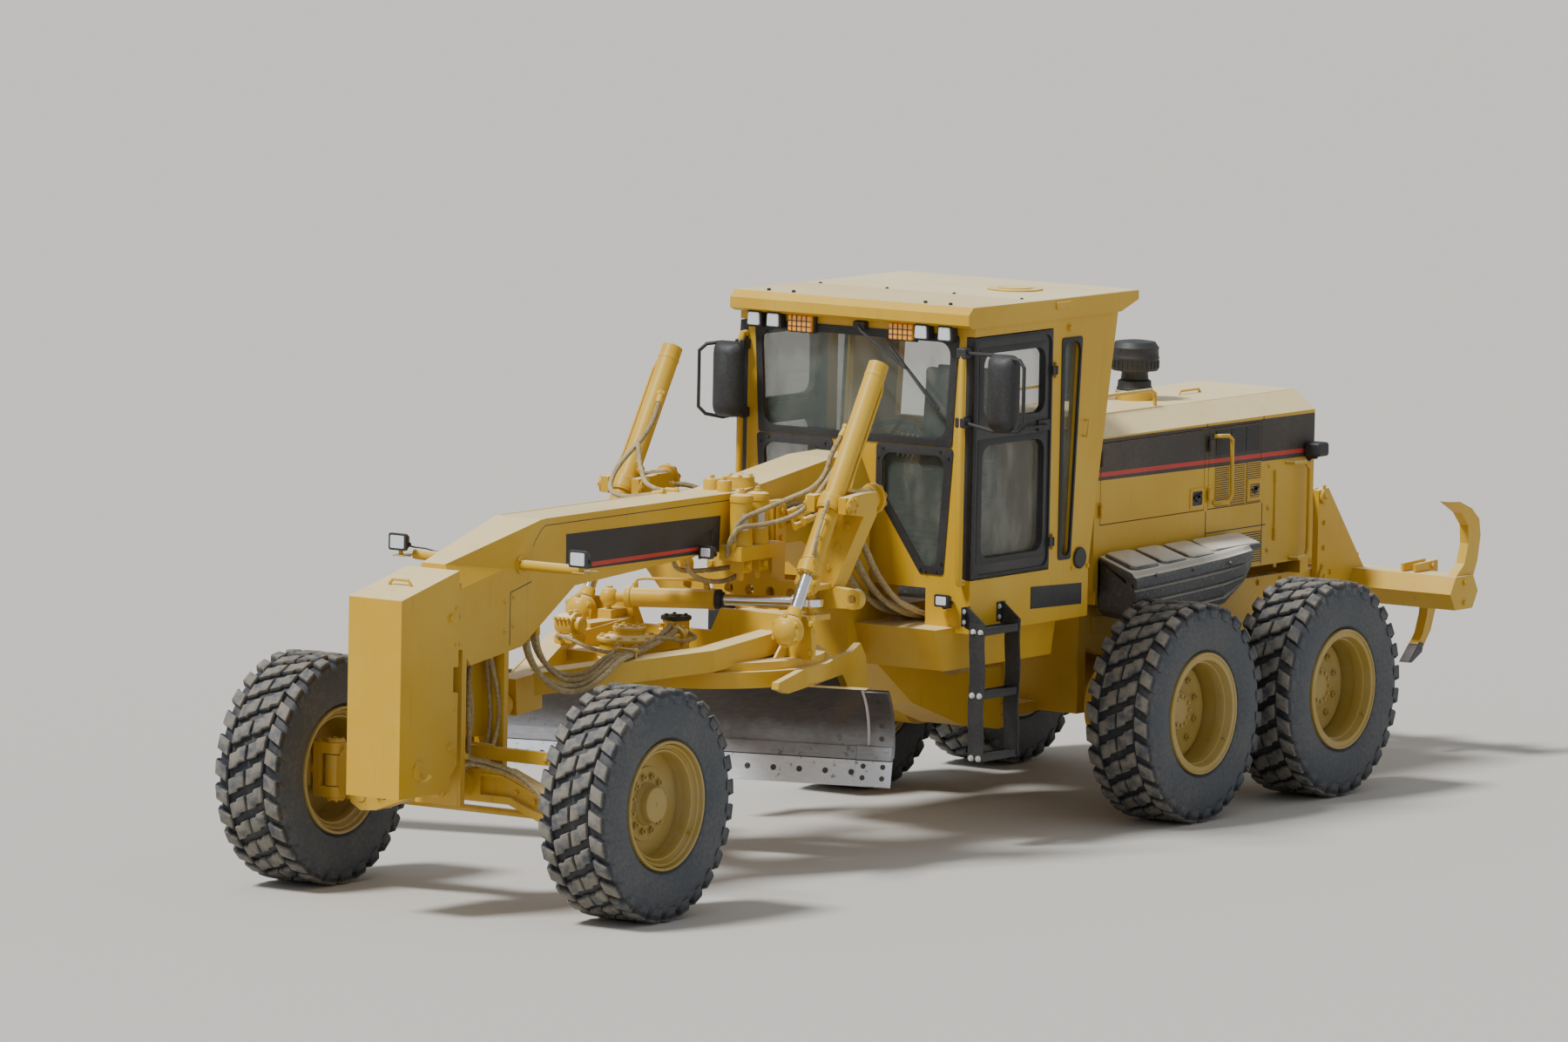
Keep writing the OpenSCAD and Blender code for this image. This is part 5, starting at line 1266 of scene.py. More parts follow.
def makeBlade():
    bolts, ends, bits, weld, lip = Shape(), Shape(), Shape(), Shape(), Shape()
    slope = Vector((0, 0.295 - 0.347, 0.434 - 0.65)).normalized()
    face = Vector((0, slope.z, -slope.y))
    if face.y > 0:
        face = -face
    count = int((blade["left"] - blade["right"] - 0.12) / blade["pitch"])
    for k in range(count + 1):
        a = blade["right"] + 0.075 + k * blade["pitch"]
        spot = Vector((a, 2.1 + 0.347, 0.65)) + slope * 0.145
        bolts.bar(spot - face * 0.004, spot + face * 0.003, 0.017, 14, edge=0.0012)
        bolts.bar(spot + face * 0.003, spot + face * 0.0042, 0.008, 4)
    for end, inward in ((blade["left"], -1), (blade["right"], 1)):
        # wear plate with a row of bolts, and the weld strip beside it
        a0, a1 = sorted((end + inward * 0.001, end + inward * 0.135))
        for shape, span, thick in ((ends, (a0, a1), 0.012), (weld, sorted((end + inward * 0.135, end + inward * 0.153)), 0.007)):
            heights = [0.655 + 0.326 * i / 7 for i in range(8)]
            outline = [bladeFace(z, thick) for z in heights] + [bladeFace(z, -0.004) for z in reversed(heights)]
            shape.plate([(2.1 + b, z) for b, z in outline], span[0], span[1], "x", 0.0015)
        for z in (0.7, 0.775, 0.85, 0.92, 0.965):
            b, h = bladeFace(z, 0.012)
            n = Vector((0, blade["b"] - b, blade["z"] - h)).normalized()
            spot = Vector((end + inward * 0.067, 2.1 + b, h))
            bolts.bar(spot - n * 0.004, spot + n * 0.004, 0.0145, 14, edge=0.0015)
        # end bit over the cutting edge
        corners = [(0.3478, 0.652), (0.2956, 0.436)]
        p0, p1 = (Vector((0, 2.1 + b, z)) for b, z in corners)
        bit = [p0 + face * 0.011, p1 + face * 0.011, p1 - face * 0.002, p0 - face * 0.002]
        bits.plate([(q.y, q.z) for q in bit], *sorted((end + inward * 0.001, end + inward * 0.205)), "x", 0.0015)
        for da in (0.045, 0.16):
            for down in (0.11, 0.175):
                spot = Vector((end + inward * da, 2.1 + 0.347, 0.65)) + slope * down + face * 0.011
                bolts.bar(spot - face * 0.003, spot + face * 0.003, 0.015, 14, edge=0.0012)
    # lip along the top and a bead under it on the back
    b0 = bladeFace(0.985)[0] + 2.1
    lip.plate(rect(b0 - 0.004, 0.984, b0 + 0.034, 0.992), blade["right"] + 0.01, blade["left"] - 0.12, "x", 0.001)
    for shape, name, kind in ((bolts, "bolts", "bladeSteel"), (ends, "ends", "bladeFace"), (bits, "bits", "bladeFoot"),
                              (weld, "welds", "label"), (lip, "lip", "pale")):
        shape.turn(blade["angle"], (0, 2.1)).done("blade_" + name, "blade", kind, 40)


makeBlade()
print("drive, side shift and blade are dressed")

# fenders: ribbed black boxes with raised pads, tapered at the front
fender = {"inner": 0.4785, "grooves": [0.085, 0.165, 0.245], "pads": [5.4, 5.72, 6.02, 6.33, 6.93],
          "sections": [(5.5, 5.335, 0.79, 1.3, 1.43, 1.355), (5.478, 5.285, 0.845, 1.22, 1.455, 1.385),
                       (5.485, 5.275, 0.875, 1.16, 1.464, 1.4), (5.53, 5.34, 0.886, 1.115, 1.467, 1.407),
                       (5.62, 5.46, 0.886, 1.105, 1.467, 1.41), (6.1, 5.95, 0.882, 1.115, 1.467, 1.427),
                       (6.45, 6.27, 0.872, 1.15, 1.467, 1.44), (6.75, 6.5, 0.85, 1.25, 1.467, 1.45),
                       (6.88, 6.62, 0.82, 1.32, 1.462, 1.45), (6.92, 6.66, 0.795, 1.345, 1.45, 1.44)]}


def makeFenders():
    piece = Shape()
    rings = []
    inner = fender["inner"]
    for yIn, yOut, outer, low, topIn, topOut in fender["sections"]:
        ring = [(inner, low), (inner, topIn - 0.01), (inner + 0.01, topIn), (outer - 0.05, topOut + 0.006),
                (outer - 0.03, topOut - 0.012), (outer - 0.008, topOut - 0.018), (outer, topOut - 0.036)]
        for n, g in enumerate(fender["grooves"]):
            z = max(topOut - g, low + 0.014 + 0.03 * (2 - n))
            room = min(1.0, (topOut - low) / 0.28)
            ring += [(outer - 0.01 * n, z + 0.014 * room), (outer - 0.03 - 0.01 * n, z + 0.008 * room),
                     (outer - 0.032 - 0.01 * n, z - 0.006 * room), (outer - 0.01 * (n + 1), z - 0.013 * room)]
        ring += [(outer - 0.034, low + 0.003), (outer - 0.05, low)]
        rings.append([(x, yIn + (yOut - yIn) * (x - inner) / (outer - inner), z) for x, z in ring])
    piece.loft(rings)
    # four raised pads on the sloping top
    def topAt(x, y):
        share = (x - inner) / 0.4
        return 1.467 - share * (0.06 - 0.02 * min(1, max(0, (y - 5.4) / 1.2)))
    for n, (y0, y1) in enumerate(zip(fender["pads"], fender["pads"][1:])):
        far = 0.81 if n < 3 else 0.77
        slant = -0.16 if n < 3 else -0.2
        quad = eased([(0.505, y0 + 0.1), (far, y0 + 0.1 + slant), (far, y1 + 0.06 + slant),
                      (0.505, y1 + 0.06 - (0.03 if n == 3 else 0))], 0.035)
        middle = Vector([sum(q[k] for q in quad) / len(quad) for k in (0, 1)])
        rings = []
        for lift, pull in ((-0.01, 0.0), (0.008, 0.0), (0.02, 0.1), (0.026, 0.22)):
            moved = [v + (middle - v).normalized() * pull * 0.08 for v in map(Vector, quad)]
            rings.append([(v.x, v.y, topAt(v.x, v.y) + lift) for v in moved])
        piece.loft(rings)
    piece.bolts([(0.885, y - 0.13, 1.39) for y in (5.6, 6.0, 6.4)], (1, 0, 0), 0.008, 0.005)
    piece.both()
    piece.done("fender_boxes", "rear_body", "fender", 40, ["fenders"])


# ladders: two straps with three bolted steps under brackets
ladder = {"x": (0.846, 0.944), "straps": [3.588, 3.952], "steps": [1.235, 0.875, 0.52]}


def makeLadders():
    piece, bolts = Shape(), Shape()
    x0, x1 = ladder["x"]
    for y in ladder["straps"]:
        # each strap bows a little between the steps
        rows = []
        for k in range(13):
            z = 0.5 + 0.77 * k / 12
            bow = 0.004 * math.sin(2 * math.pi * k / 12 * 2)
            rows.append([(u + bow * 0.5, v + bow, z) for u, v in rect(x0, y - 0.006, x1, y + 0.006)])
        piece.loft(rows)
    for z in ladder["steps"]:
        y0, y1 = ladder["straps"]
        piece.box((x0 + 0.004, y0 + 0.006, z - 0.004), (x1 - 0.004, y1 - 0.006, z + 0.002), 0.001)
        for x in (x0 + 0.006, x1 - 0.012):
            piece.box((x, y0 + 0.006, z - 0.03), (x + 0.006, y1 - 0.006, z + 0.012), 0.001)
        for y, way in ((y0, 1), (y1, -1)):
            low, high = sorted((y + way * 0.006, y + way * 0.012))
            piece.box((x0 + 0.006, low, z - 0.036), (x1 - 0.006, high, z + 0.014), 0.001)
            for x in (x0 + 0.024, x1 - 0.024):
                for out in (-1, 1):
                    bolts.bolt((x, y + out * 0.0065, z - 0.012), (0, out, 0), 0.0105, 0.008)
        for k in range(7):
            y = y0 + 0.045 + (y1 - y0 - 0.09) * k / 6
            piece.bar(((x0 + x1) / 2, y, z + 0.001), ((x0 + x1) / 2, y, z + 0.007), 0.014, 10, edge=0.001)
    for y in ladder["straps"]:
        # bracket from the cab's side to the strap
        piece.plate([(0.8, 1.24), (0.8, 1.36), (0.82, 1.36), (x1 - 0.01, 1.27), (x1 - 0.01, 1.22), (0.86, 1.22)], y + 0.008,
                    y + 0.02, "y", 0.001)
        piece.box((0.8005, y - 0.03, 1.25), (0.809, y + 0.05, 1.36), 0.002)
        bolts.bolts([(0.809, y - 0.014, z) for z in (1.275, 1.335)], (1, 0, 0), 0.009, 0.007)
    piece.both()
    bolts.both()
    piece.done("ladder_straps", "front_frame", "plastic", 40, ["ladders"])
    bolts.done("ladder_bolts", "front_frame", "label", 40)


makeFenders()
makeLadders()
print("fenders and ladders are made")

# hoses: each row has the body it rides on, its diameter and its route
hoseRuns = [
    ("draft_frame", 0.032, [(0.1, 0.33, 1.44), (0.145, 0.3, 1.33), (0.2, 0.345, 1.205), (0.25, 0.47, 1.125), (0.31, 0.6, 1.13),
                            (0.345, 0.74, 1.2), (0.33, 0.9, 1.262), (0.29, 1.1, 1.278), (0.25, 1.32, 1.3), (0.19, 1.56, 1.325),
                            (0.055, 1.84, 1.335)]),
    ("draft_frame", 0.032, [(0.07, 0.345, 1.45), (0.11, 0.325, 1.33), (0.17, 0.36, 1.22), (0.225, 0.475, 1.152),
                            (0.285, 0.61, 1.15), (0.315, 0.75, 1.215), (0.3, 0.9, 1.264), (0.26, 1.1, 1.278), (0.215, 1.32, 1.3),
                            (0.15, 1.56, 1.335), (0.02, 1.824, 1.35)]),
    ("draft_frame", 0.028, [(0.125, 0.39, 1.475), (0.15, 0.375, 1.36), (0.185, 0.43, 1.245), (0.23, 0.55, 1.17),
                            (0.285, 0.69, 1.19), (0.27, 0.86, 1.258), (0.235, 1.02, 1.272), (0.2, 1.17, 1.28),
                            (0.125, 1.342, 1.275)]),
    ("draft_frame", 0.028, [(0.085, 0.4, 1.48), (0.115, 0.385, 1.37), (0.155, 0.44, 1.265), (0.2, 0.56, 1.2), (0.245, 0.7, 1.205),
                            (0.24, 0.86, 1.262), (0.19, 1.02, 1.275), (0.12, 1.15, 1.28), (0.05, 1.292, 1.275)]),
    ("draft_frame", 0.022, [(-0.3, 1.225, 1.285), (-0.26, 1.13, 1.33), (-0.15, 1.07, 1.33), (0.0, 1.06, 1.29), (0.12, 1.08, 1.27),
                            (0.1, 1.2, 1.28), (0.03, 1.29, 1.29)]),
    ("draft_frame", 0.022, [(0.15, 1.37, 1.285), (0.25, 1.41, 1.335), (0.285, 1.52, 1.31), (0.26, 1.66, 1.3), (0.2, 1.8, 1.3),
                            (0.07, 1.88, 1.32)]),
    ("front_frame", 0.03, [(0.625, 2.61, 2.42), (0.605, 2.52, 2.3), (0.59, 2.48, 2.19), (0.56, 2.4, 2.11), (0.47, 2.3, 2.05),
                           (0.37, 2.2, 1.99), (0.285, 2.1, 1.93), (0.25, 2.09, 1.84), (0.24, 2.105, 1.76)]),
    ("front_frame", 0.03, [(0.655, 2.53, 2.27), (0.62, 2.44, 2.14), (0.54, 2.36, 2.0), (0.46, 2.27, 1.935), (0.37, 2.16, 1.905),
                           (0.29, 2.08, 1.89), (0.235, 2.07, 1.81), (0.2, 2.1, 1.72), (0.155, 2.16, 1.7)]),
    ("front_frame", 0.02, [(0.76, 2.14, 1.72), (0.79, 2.1, 1.84), (0.79, 2.16, 1.98), (0.76, 2.26, 2.06), (0.72, 2.3, 2.0)]),
    ("front_frame", 0.03, [(-0.622, 2.6, 2.52), (-0.595, 2.5, 2.4), (-0.585, 2.37, 2.3), (-0.585, 2.2, 2.2), (-0.57, 2.08, 2.12),
                           (-0.5, 1.96, 2.05), (-0.35, 1.9, 2.03), (-0.14, 1.92, 2.062)]),
    ("front_frame", 0.028, [(-0.604, 2.39, 2.14), (-0.578, 2.33, 2.24), (-0.53, 2.26, 2.28), (-0.47, 2.18, 2.26), (-0.4, 2.1, 2.18),
                            (-0.32, 2.04, 2.1), (-0.22, 2.02, 2.07), (-0.14, 2.05, 2.065)]),
    ("front_frame", 0.03, [(-0.6, 2.64, 2.02), (-0.52, 2.72, 2.02), (-0.4, 2.74, 1.99), (-0.26, 2.72, 1.95), (-0.15, 2.66, 1.93)]),
    ("front_frame", 0.028, [(0.06, 1.9, 1.742), (0.04, 1.96, 1.64), (0.06, 2.1, 1.575), (0.1, 2.26, 1.57), (0.15, 2.38, 1.64),
                            (0.17, 2.42, 1.73)]),
    ("front_frame", 0.028, [(-0.02, 1.88, 1.742), (-0.03, 1.94, 1.65), (-0.01, 2.1, 1.625), (0.05, 2.28, 1.63), (0.11, 2.42, 1.65),
                            (0.13, 2.5, 1.72)]),
]
# bundle from the saddle along the frame's side to the space under the cab
for k in range(8):
    x = 0.185 + 0.036 * k
    lower = 0.035 * (k % 3)
    hoseRuns.append(("front_frame", 0.03, [(x * 0.8 + 0.01, 2.645, 1.93 - lower), (x * 0.85 + 0.02, 2.8, 1.96 - lower),
                                           (x, 2.98, 1.9 - lower), (x + 0.01, 3.11, 1.74 - lower),
                                           (x + 0.02, 3.24, 1.56 - lower * 0.8), (x + 0.015, 3.46, 1.39 - lower * 0.6),
                                           (x + 0.01 * (k % 2), 3.72, 1.3 - lower * 0.5), (x, 3.96, 1.25)]))
# hoses down the open side of the nose column, and along the axle's top
for side in (1, -1):
    for k, (y, bow) in enumerate(((-0.2, 0.05), (-0.14, -0.03), (-0.03, 0.055), (0.02, 0.02))):
        x = side * (0.055 + 0.028 * (k % 3))
        hoseRuns.append(("front_frame", 0.026, [(x, y, 1.38), (x, y + bow, 1.24), (x + side * 0.012, y + bow * 1.6, 1.07),
                                                (x + side * 0.012, y + bow * 1.2, 0.92), (x, y + bow * 0.4 - 0.01, 0.8),
                                                (x, -0.05 + 0.02 * k, 0.748)]))
    # from the column out over the axle beam's front
    for k in range(2):
        hoseRuns.append(("front_frame", 0.024, [(side * (0.09 + 0.03 * k), -0.291, 0.8 + 0.035 * k),
                                                (side * (0.16 + 0.02 * k), -0.262, 0.79 + 0.03 * k),
                                                (side * 0.26, -0.2 - 0.02 * k, 0.77 + 0.03 * k),
                                                (side * 0.38, -0.15 - 0.02 * k, 0.73 + 0.03 * k),
                                                (side * 0.49, -0.122 - 0.018 * k, 0.66 + 0.025 * k),
                                                (side * 0.57, -0.112 - 0.012 * k, 0.585 + 0.02 * k)]))
for number, run in enumerate(hoseRuns, 1):
    makeHose("hose_%02d" % number, *run)
print("hoses are made:", len(hoseRuns))


# more lamps: under the beam's band on a bracket, and at the cab base's front corners
def makeMoreLamps():
    cases, lens = Shape(), Shape()
    for sign in (1, -1):
        lampCase(cases, lens, (sign * 0.215, 1.9, 1.765), 0.045, 0.036)
        cases.side(rect(1.885, 1.72, 1.915, 1.8), sign, 0.1505, 0.155, 0.001)
        cases.side(rect(1.89, 1.735, 1.91, 1.765), sign, 0.154, 0.176, 0.001)
        cases.tube([(sign * 0.2, 1.93, 1.78), (sign * 0.19, 1.96, 1.83), (sign * 0.165, 1.99, 1.86), (sign * 0.153, 2.03, 1.87)],
                   0.005, 6)
        lampCase(cases, lens, (sign * 0.66, 3.598, 1.385), 0.048, 0.036)
        cases.side(rect(3.6, 1.34, 3.645, 1.346), sign, 0.64, 0.68, 0.001)
        cases.box((sign * 0.66 - 0.005, 3.59, 1.335), (sign * 0.66 + 0.005, 3.61, 1.352), 0.001)
    cases.done("work_lamp_cases", "front_frame", "plastic")
    lens.done("work_lamp_glass", "front_frame", "lens")


# a padded form: a rounded box blown up by cloth pressure, then its crown, seam and sewn channels
def cushion(name, centre, half, lean, channels, radius=0.034, cell=0.0095):
    shape = Shape()
    counts = [max(2, int(2 * v / cell)) for v in half]
    verts = {}
    back, forth = Matrix.Rotation(-lean, 3, "X"), Matrix.Rotation(lean, 3, "X")
    def spot(*key):
        if key not in verts:
            q = Vector([-h + 2 * h * n / m for h, n, m in zip(half, key, counts)])
            core = Vector([max(radius - h, min(h - radius, v)) for h, v in zip(half, q)])
            if (q - core).length > 1e-6:
                q = core + (q - core).normalized() * radius
            verts[key] = shape.mesh.verts.new(forth @ q + Vector(centre))
        return verts[key]
    for axis in range(3):
        u, v = (axis + 1) % 3, (axis + 2) % 3
        for end in (0, counts[axis]):
            for i in range(counts[u]):
                for j in range(counts[v]):
                    corners = []
                    for du, dv in ((0, 0), (1, 0), (1, 1), (0, 1)):
                        key = [0, 0, 0]
                        key[axis], key[u], key[v] = end, i + du, j + dv
                        corners.append(spot(*key))
                    shape.mesh.faces.new(corners)
    piece = shape.done(name, "front_frame", "cloth", 60)
    moved = [v.co.copy() for v in piece.data.vertices]
    air = piece.modifiers.new("air", "CLOTH")
    air.settings.quality = 4
    air.settings.use_pressure = True
    air.settings.uniform_pressure_force = 4
    air.settings.effector_weights.gravity = 0
    for step in range(1, 13):
        bpy.context.scene.frame_set(step)
    blown = piece.evaluated_get(bpy.context.evaluated_depsgraph_get())
    moved = [v.co.copy() for v in blown.data.vertices]
    piece.modifiers.remove(air)
    bpy.context.scene.frame_set(1)
    a, b, c = half
    place = Vector(centre) + origin
    for vertex, seen in zip(piece.data.vertices, moved):
        step = seen - vertex.co
        step *= min(1, 0.009 / max(step.length, 1e-9))
        q = back @ (vertex.co + step - place)
        fx, fy = min(1, abs(q.x) / a), min(1, abs(q.y) / b)
        q.x *= 1 - 0.045 * (1 - fy * fy) * fx ** 6
        q.y *= 1 - 0.045 * (1 - fx * fx) * fy ** 6
        if q.z > 0.3 * c:
            q.z += 0.01 * (1 - fx * fx) * (1 - fy * fy)
            for channel in channels:
                q.z -= 0.008 * math.exp(-((q.x - channel * a) / 0.007) ** 2)
            q.z -= 0.007 * math.exp(-((abs(q.y) - 0.7 * b) / 0.007) ** 2) * (fx < 0.55)
        seam = math.exp(-((q.z - 0.3 * c) / 0.0045) ** 2)
        edge = Vector((q.x, q.y, 0)).normalized() if max(fx, fy) > 0.85 else Vector((0, 0, 0))
        q += edge * 0.004 * seam
        vertex.co = forth @ q + place


# cab inside: suspended seat with padded cushions, arm rests, lever banks, wheel and pedals
inside = {"floor": 1.49, "seat": 4.5, "levers": [0.12, 0.155, 0.19, 0.225]}


def makeInside():
    cushion("seat_cushion", (0, inside["seat"] - 0.02, 1.9), (0.245, 0.235, 0.058), 0.05, (-0.55, 0.55))
    cushion("seat_back", (0, 4.7, 2.28), (0.235, 0.3, 0.05), math.radians(84), (-0.55, 0.55))
    frameShape, metal = Shape(), Shape()
    f = inside["floor"]
    # seat base: rails, bellows and pan
    frameShape.box((-0.2, 4.29, f + 0.001), (0.2, 4.66, f + 0.03), 0.006)
    rings = []
    for k in range(15):
        grow = 0.012 * (k % 2)
        z = f + 0.03 + 0.245 * k / 14
        rings.append([(x, y, z) for x, y in eased(rect(-0.16 - grow, 4.32 - grow, 0.16 + grow, 4.62 + grow), 0.03)])
    frameShape.loft(rings)
    frameShape.plate(eased(rect(-0.24, 4.26, 0.24, 4.72), 0.04), f + 0.29, f + 0.345, "z", 0.01)
    frameShape.plate([(4.72, 1.83), (4.79, 1.83), (4.83, 2.3), (4.805, 2.58), (4.775, 2.58), (4.765, 2.3)], -0.2, 0.2, "x", 0.01)
    for sign in (1, -1):
        frameShape.side(eased([(4.36, 2.02), (4.68, 2.02), (4.68, 2.075), (4.4, 2.085), (4.36, 2.06)], 0.015), sign, 0.275, 0.33,
                        0.01)
        frameShape.bar((sign * 0.3, 4.66, 1.88), (sign * 0.3, 4.66, 2.03), 0.014, 12)
        # lever bank beside the wheel, its boots and knobs
        frameShape.side([(3.79, 2.06), (3.95, 2.02), (3.96, 2.08), (3.8, 2.14)], sign, 0.09, 0.255, 0.01)
        for x in inside["levers"]:
            frameShape.bar((sign * x, 3.875, 2.09), (sign * x, 3.9, 2.14), 0.013, 12, 0.007)
            metal.bar((sign * x, 3.895, 2.13), (sign * x, 3.955, 2.27), 0.005, 10)
            frameShape.ball((sign * x, 3.96, 2.285), 0.016, 14, 1.25)
        metal.bar((sign * 0.25, 4.0, f + 0.01), (sign * 0.25, 4.06, f + 0.07), 0.008, 8)
        frameShape.side([(3.98, f + 0.03), (4.0, f + 0.015), (4.09, f + 0.1), (4.07, f + 0.115)], sign, 0.2, 0.3, 0.004)
    # console and column
    frameShape.plate([(3.77, f + 0.001), (3.8, 2.1), (3.9, 2.13), (3.915, 2.05), (3.88, 1.8), (3.9, f + 0.001)], -0.13, 0.13, "x",
                     0.015)
    frameShape.plate([(3.79, 2.1), (3.92, 2.07), (3.925, 2.12), (3.8, 2.165)], -0.16, 0.16, "x", 0.012)
    frameShape.bar((0, 3.84, 2.1), (0, 3.945, 2.225), 0.032, 20, 0.026)
    # wheel: a grooved rim on three spokes
    centre = Vector((0, 3.95, 2.235))
    tilt = Matrix.Rotation(math.radians(25), 3, "X")

    def tilted(radius, angle, height):
        return tilt @ Vector(around((0, 0, height), "z", radius, angle)) + centre
    rows = []
    for k in range(64):
        t = 2 * math.pi * k / 64
        grip = 0.0135 + 0.0009 * math.cos(t * 28)
        turns = [2 * math.pi * j / 10 for j in range(10)]
        rows.append([tilted(0.178 + grip * math.cos(v), t, grip * math.sin(v)) for v in turns])
    frameShape.skinRows(rows, True, True)
    for k in range(3):
        t = math.pi / 2 + 2 * math.pi / 3 * k
        frameShape.bar(tilted(0.03, t, -0.012), tilted(0.17, t, 0), 0.011, 10)
    frameShape.bar(tilted(0, 0, -0.02), tilted(0, 0, 0.012), 0.042, 28, edge=0.006)
    frameShape.done("cab_fittings", "front_frame", "plastic", 40, ["cab_interior"])
    metal.done("cab_levers", "front_frame", "chrome", 40)


makeMoreLamps()
makeInside()
print("lamps and the cab's inside are made")

# ripper and rear frame: pin heads with keepers, shank pins, tooth tips, plate bolts
ripper = {"pins": [(8.0, 1.56), (8.0, 1.08)], "link": 0.4, "shanks": [-0.56, 0.0, 0.56]}


def pinHead(shape, x, y, z, way, radius=0.042):
    shape.ring([(0.0, 0.0), (radius, 0.0), (radius + 0.002, 0.003), (radius + 0.002, 0.013), (radius - 0.003, 0.018),
                (0.014, 0.019), (0.0, 0.019)], (x, y, z), "x", 28, way)
    shape.bolt((x + way * 0.0185, y, z), (way, 0, 0), 0.012, 0.008)
    shape.plate(eased(rect(y - 0.012, z + radius - 0.004, y + 0.012, z + radius + 0.03), 0.005),
                *sorted((x + way * 0.0005, x + way * 0.009)), "x", 0.001)
    shape.bolt((x + way * 0.009, y, z + radius + 0.02), (way, 0, 0), 0.007, 0.005)


def makeRipper():
    frameHeads, ripperHeads, tips, rear = Shape(), Shape(), Shape(), Shape()
    for (y, z), body in zip(ripper["pins"], ("ripper_top", "ripper_bottom")):
        for sign in (1, -1):
            pinHead(frameHeads, sign * 0.2005, y, z, sign)
            pinHead(ripperHeads, sign * 0.1955, y + ripper["link"], z, sign)
        # grease fittings and edge welds on each link
        link = Shape()
        for dy in (0.0, ripper["link"]):
            link.bar((0.07, y + dy, z + 0.048), (0.07, y + dy, z + 0.062), 0.007, 6)
            link.ball((0.07, y + dy, z + 0.064), 0.005, 8)
        for x in (-0.1, 0.1):
            link.plate(eased(rect(x - 0.035, y + 0.1, x + 0.035, y + 0.3), 0.02), z + 0.0455, z + 0.049, "z", 0.001)
        link.done(body + "_fittings", body, "yellow", 40)
    for x in ripper["shanks"]:
        # pocket plates that hold the shank on the beam, with their pin
        for dx in (-0.052, 0.034):
            ripperHeads.plate([(8.8, 1.103), (9.0, 1.103), (9.06, 1.13), (9.06, 1.16), (8.8, 1.15)], x + dx, x + dx + 0.018, "x",
                              0.002)
        ripperHeads.bar((x - 0.066, 8.99, 1.128), (x + 0.068, 8.99, 1.128), 0.014, 14, edge=0.002)
        ripperHeads.bar((x + 0.06, 8.99, 1.115), (x + 0.06, 8.99, 1.15), 0.004, 8)
        # wear tip on the tooth
        tips.plate([(8.775, 0.556), (8.815, 0.553), (8.93, 0.607), (8.945, 0.66), (8.9, 0.672), (8.855, 0.633)], x - 0.037,
                   x + 0.037, "x", 0.004)
        tips.bar((x - 0.04, 8.905, 0.635), (x + 0.04, 8.905, 0.635), 0.01, 12, edge=0.002)
    for sign in (1, -1):
        ripperHeads.bolts([(sign * 0.195, y, z) for y, z in ((8.42, 1.25), (8.42, 1.4), (8.5, 1.1))], (sign, 0, 0), 0.012, 0.009)
        ripperHeads.bolts([(sign * 0.92, 8.86, z) for z in (1.06, 0.94)], (sign, 0, 0), 0.014, 0.01)
    # rear frame: side plates with their bolts, and bolts on its rear wall
    for sign in (1, -1):
        rear.bolts([(sign * 0.3905, 5.62 + 0.25 * k, 1.145) for k in range(9)], (sign, 0, 0), 0.013, 0.01)
        rear.side(eased(rect(5.56, 1.0, 5.98, 1.1), 0.02), sign, 0.3905, 0.4, 0.002)
        rear.bolts([(sign * 0.34, 7.8805, z) for z in (0.92, 1.12)], (0, 1, 0), 0.015, 0.011)
        rear.bolts([(sign * 0.14, 7.8805, z) for z in (1.22, 1.58)], (0, 1, 0), 0.013, 0.01)
    frameHeads.done("ripper_pin_heads", "rear_body", "yellow", 40)
    ripperHeads.done("ripper_fittings", "ripper", "yellow", 40)
    tips.done("ripper_tips", "ripper", "bladeSteel", 40)
    rear.done("rear_frame_fittings", "rear_body", "yellow", 40)
    # articulation pin's cap on the front frame
    cap = Shape()
    cap.ring([(0.0, 1.0205), (0.062, 1.0205), (0.066, 1.024), (0.066, 1.036), (0.06, 1.042), (0.0, 1.043)], (0, 5.15, 0), "z", 40)
    cap.boltCircle((0, 5.15, 1.0425), "z", 0.042, 6, 0.009)
    cap.done("hitch_cap", "front_frame", "yellow", 40)
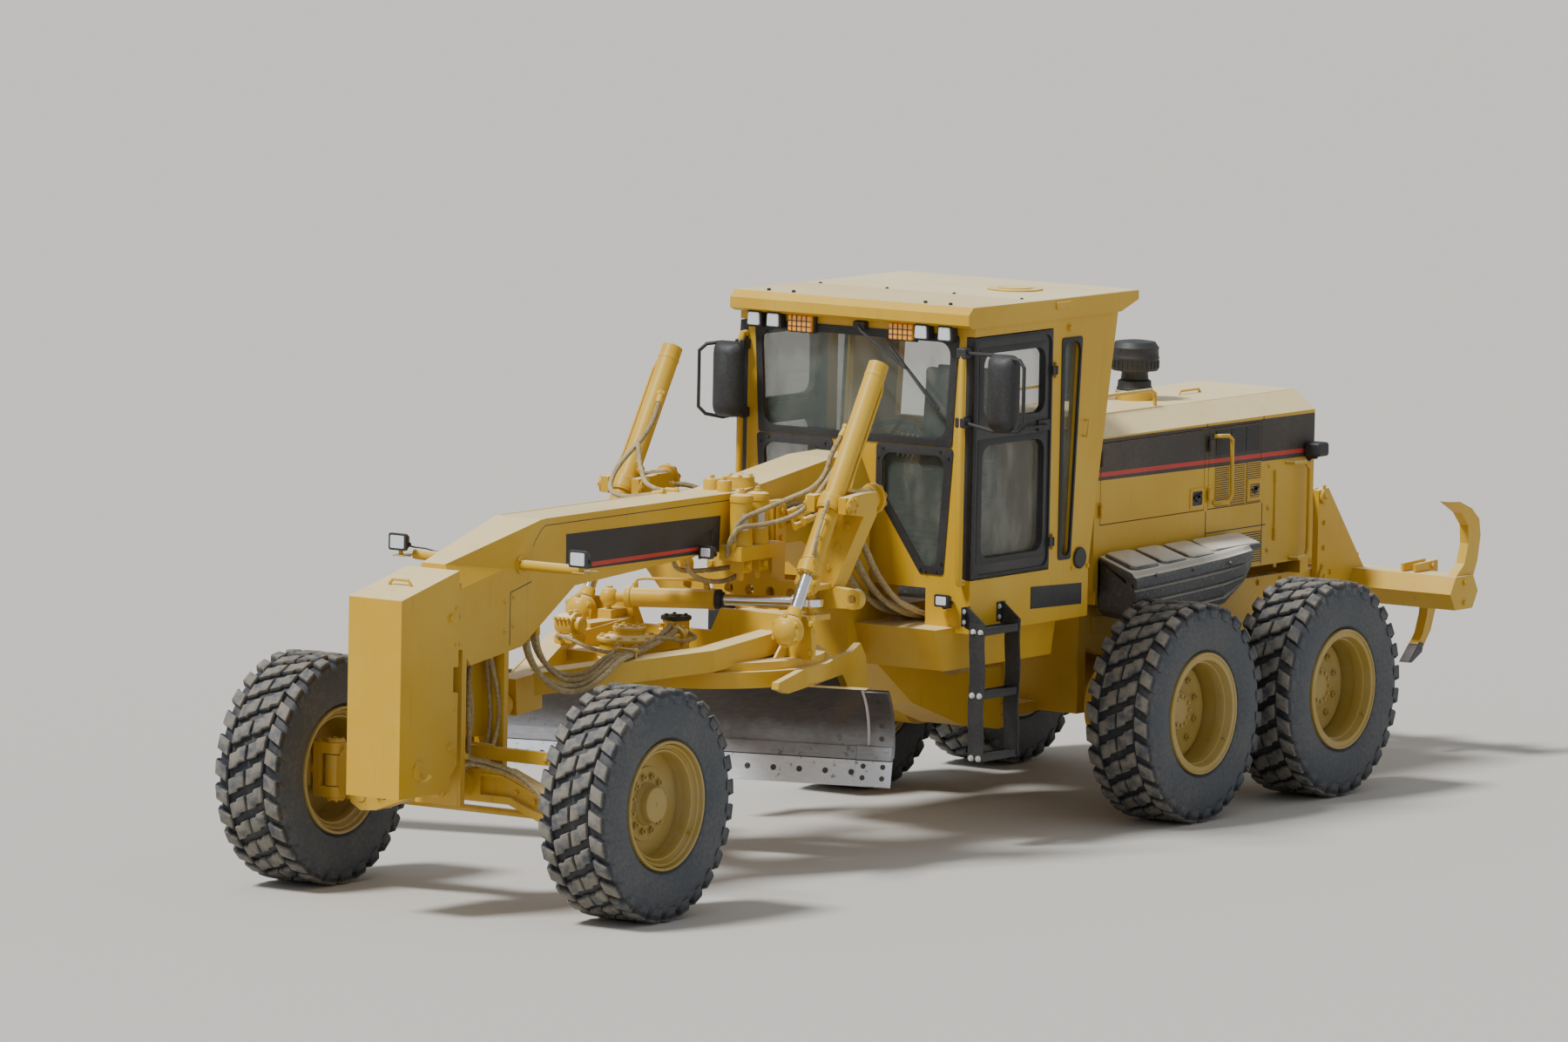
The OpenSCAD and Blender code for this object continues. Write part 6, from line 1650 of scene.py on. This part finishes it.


# front axle: pin caps, king pin caps, lean bar ends, line fittings
def makeAxle():
    axle = Shape()
    axle.ring([(0.0, 0.0), (0.06, 0.0), (0.064, 0.004), (0.064, 0.016), (0.05, 0.022), (0.0, 0.023)], (0, -0.3305, 0.66), "y", 36,
              -1)
    axle.boltCircle((0, -0.3525, 0.66), "y", 0.044, 6, 0.009, 0.007, -1, 0)
    for sign in (1, -1):
        axle.tube([(sign * 0.12, -0.092, 0.715), (sign * 0.26, -0.092, 0.712), (sign * 0.56, -0.092, 0.602)], 0.006, 6)
        axle.bolts([(sign * x, -0.058, z + 0.04) for x, z in ((0.33, 0.585), (0.45, 0.545))], (0, -1, 0), 0.012, 0.009)
    axle.done("axle_fittings", "front_frame", "yellow", 40)
    for side, sign in sides.items():
        knuckle, bracket = Shape(), Shape()
        for z, way in ((0.7855, 1), (0.4845, -1)):
            knuckle.ring([(0.0, 0.0), (0.05, 0.0), (0.053, 0.003), (0.053, 0.012), (0.046, 0.017), (0.0, 0.018)],
                         (sign * 0.93, 0, z), "z", 32, way)
            knuckle.boltCircle((sign * 0.93, 0, z + way * 0.0165), "z", 0.036, 4, 0.008, 0.006, way)
        knuckle.bolt((sign * 1.02, 0.03, 0.7855), (0, 0, 1), 0.011, 0.008)
        knuckle.bolt((sign * 1.02, -0.03, 0.7855), (0, 0, 1), 0.011, 0.008)
        knuckle.done("knuckle_caps_" + side, "steer_" + side, "yellow", 40)
        bracket.bolts([(sign * 0.8, -0.0455, z) for z in (0.56, 0.62)], (0, -1, 0), 0.011, 0.009)
        bracket.ring([(0.0, 0.0), (0.03, 0.0), (0.032, 0.002), (0.032, 0.009), (0.028, 0.012), (0.0, 0.013)],
                     (sign * 0.69, -0.0455, 0.82), "y", 28, -1)
        bracket.done("lean_caps_" + side, "lean_" + side, "yellow", 40)
    bar = Shape()
    bar.bolts([(x, -0.0285, 0.82) for x in (-0.5, 0.5)], (0, -1, 0), 0.012, 0.009)
    # a hard line along the bar's front
    bar.tube([(-0.52, -0.036, 0.865), (-0.46, -0.036, 0.868), (0.1, -0.036, 0.868), (0.16, -0.036, 0.865)], 0.007, 8)
    bar.done("lean_bar_fittings", "lean_link", "yellow", 40)


makeRipper()
makeAxle()
print("ripper, rear frame and axle are dressed")
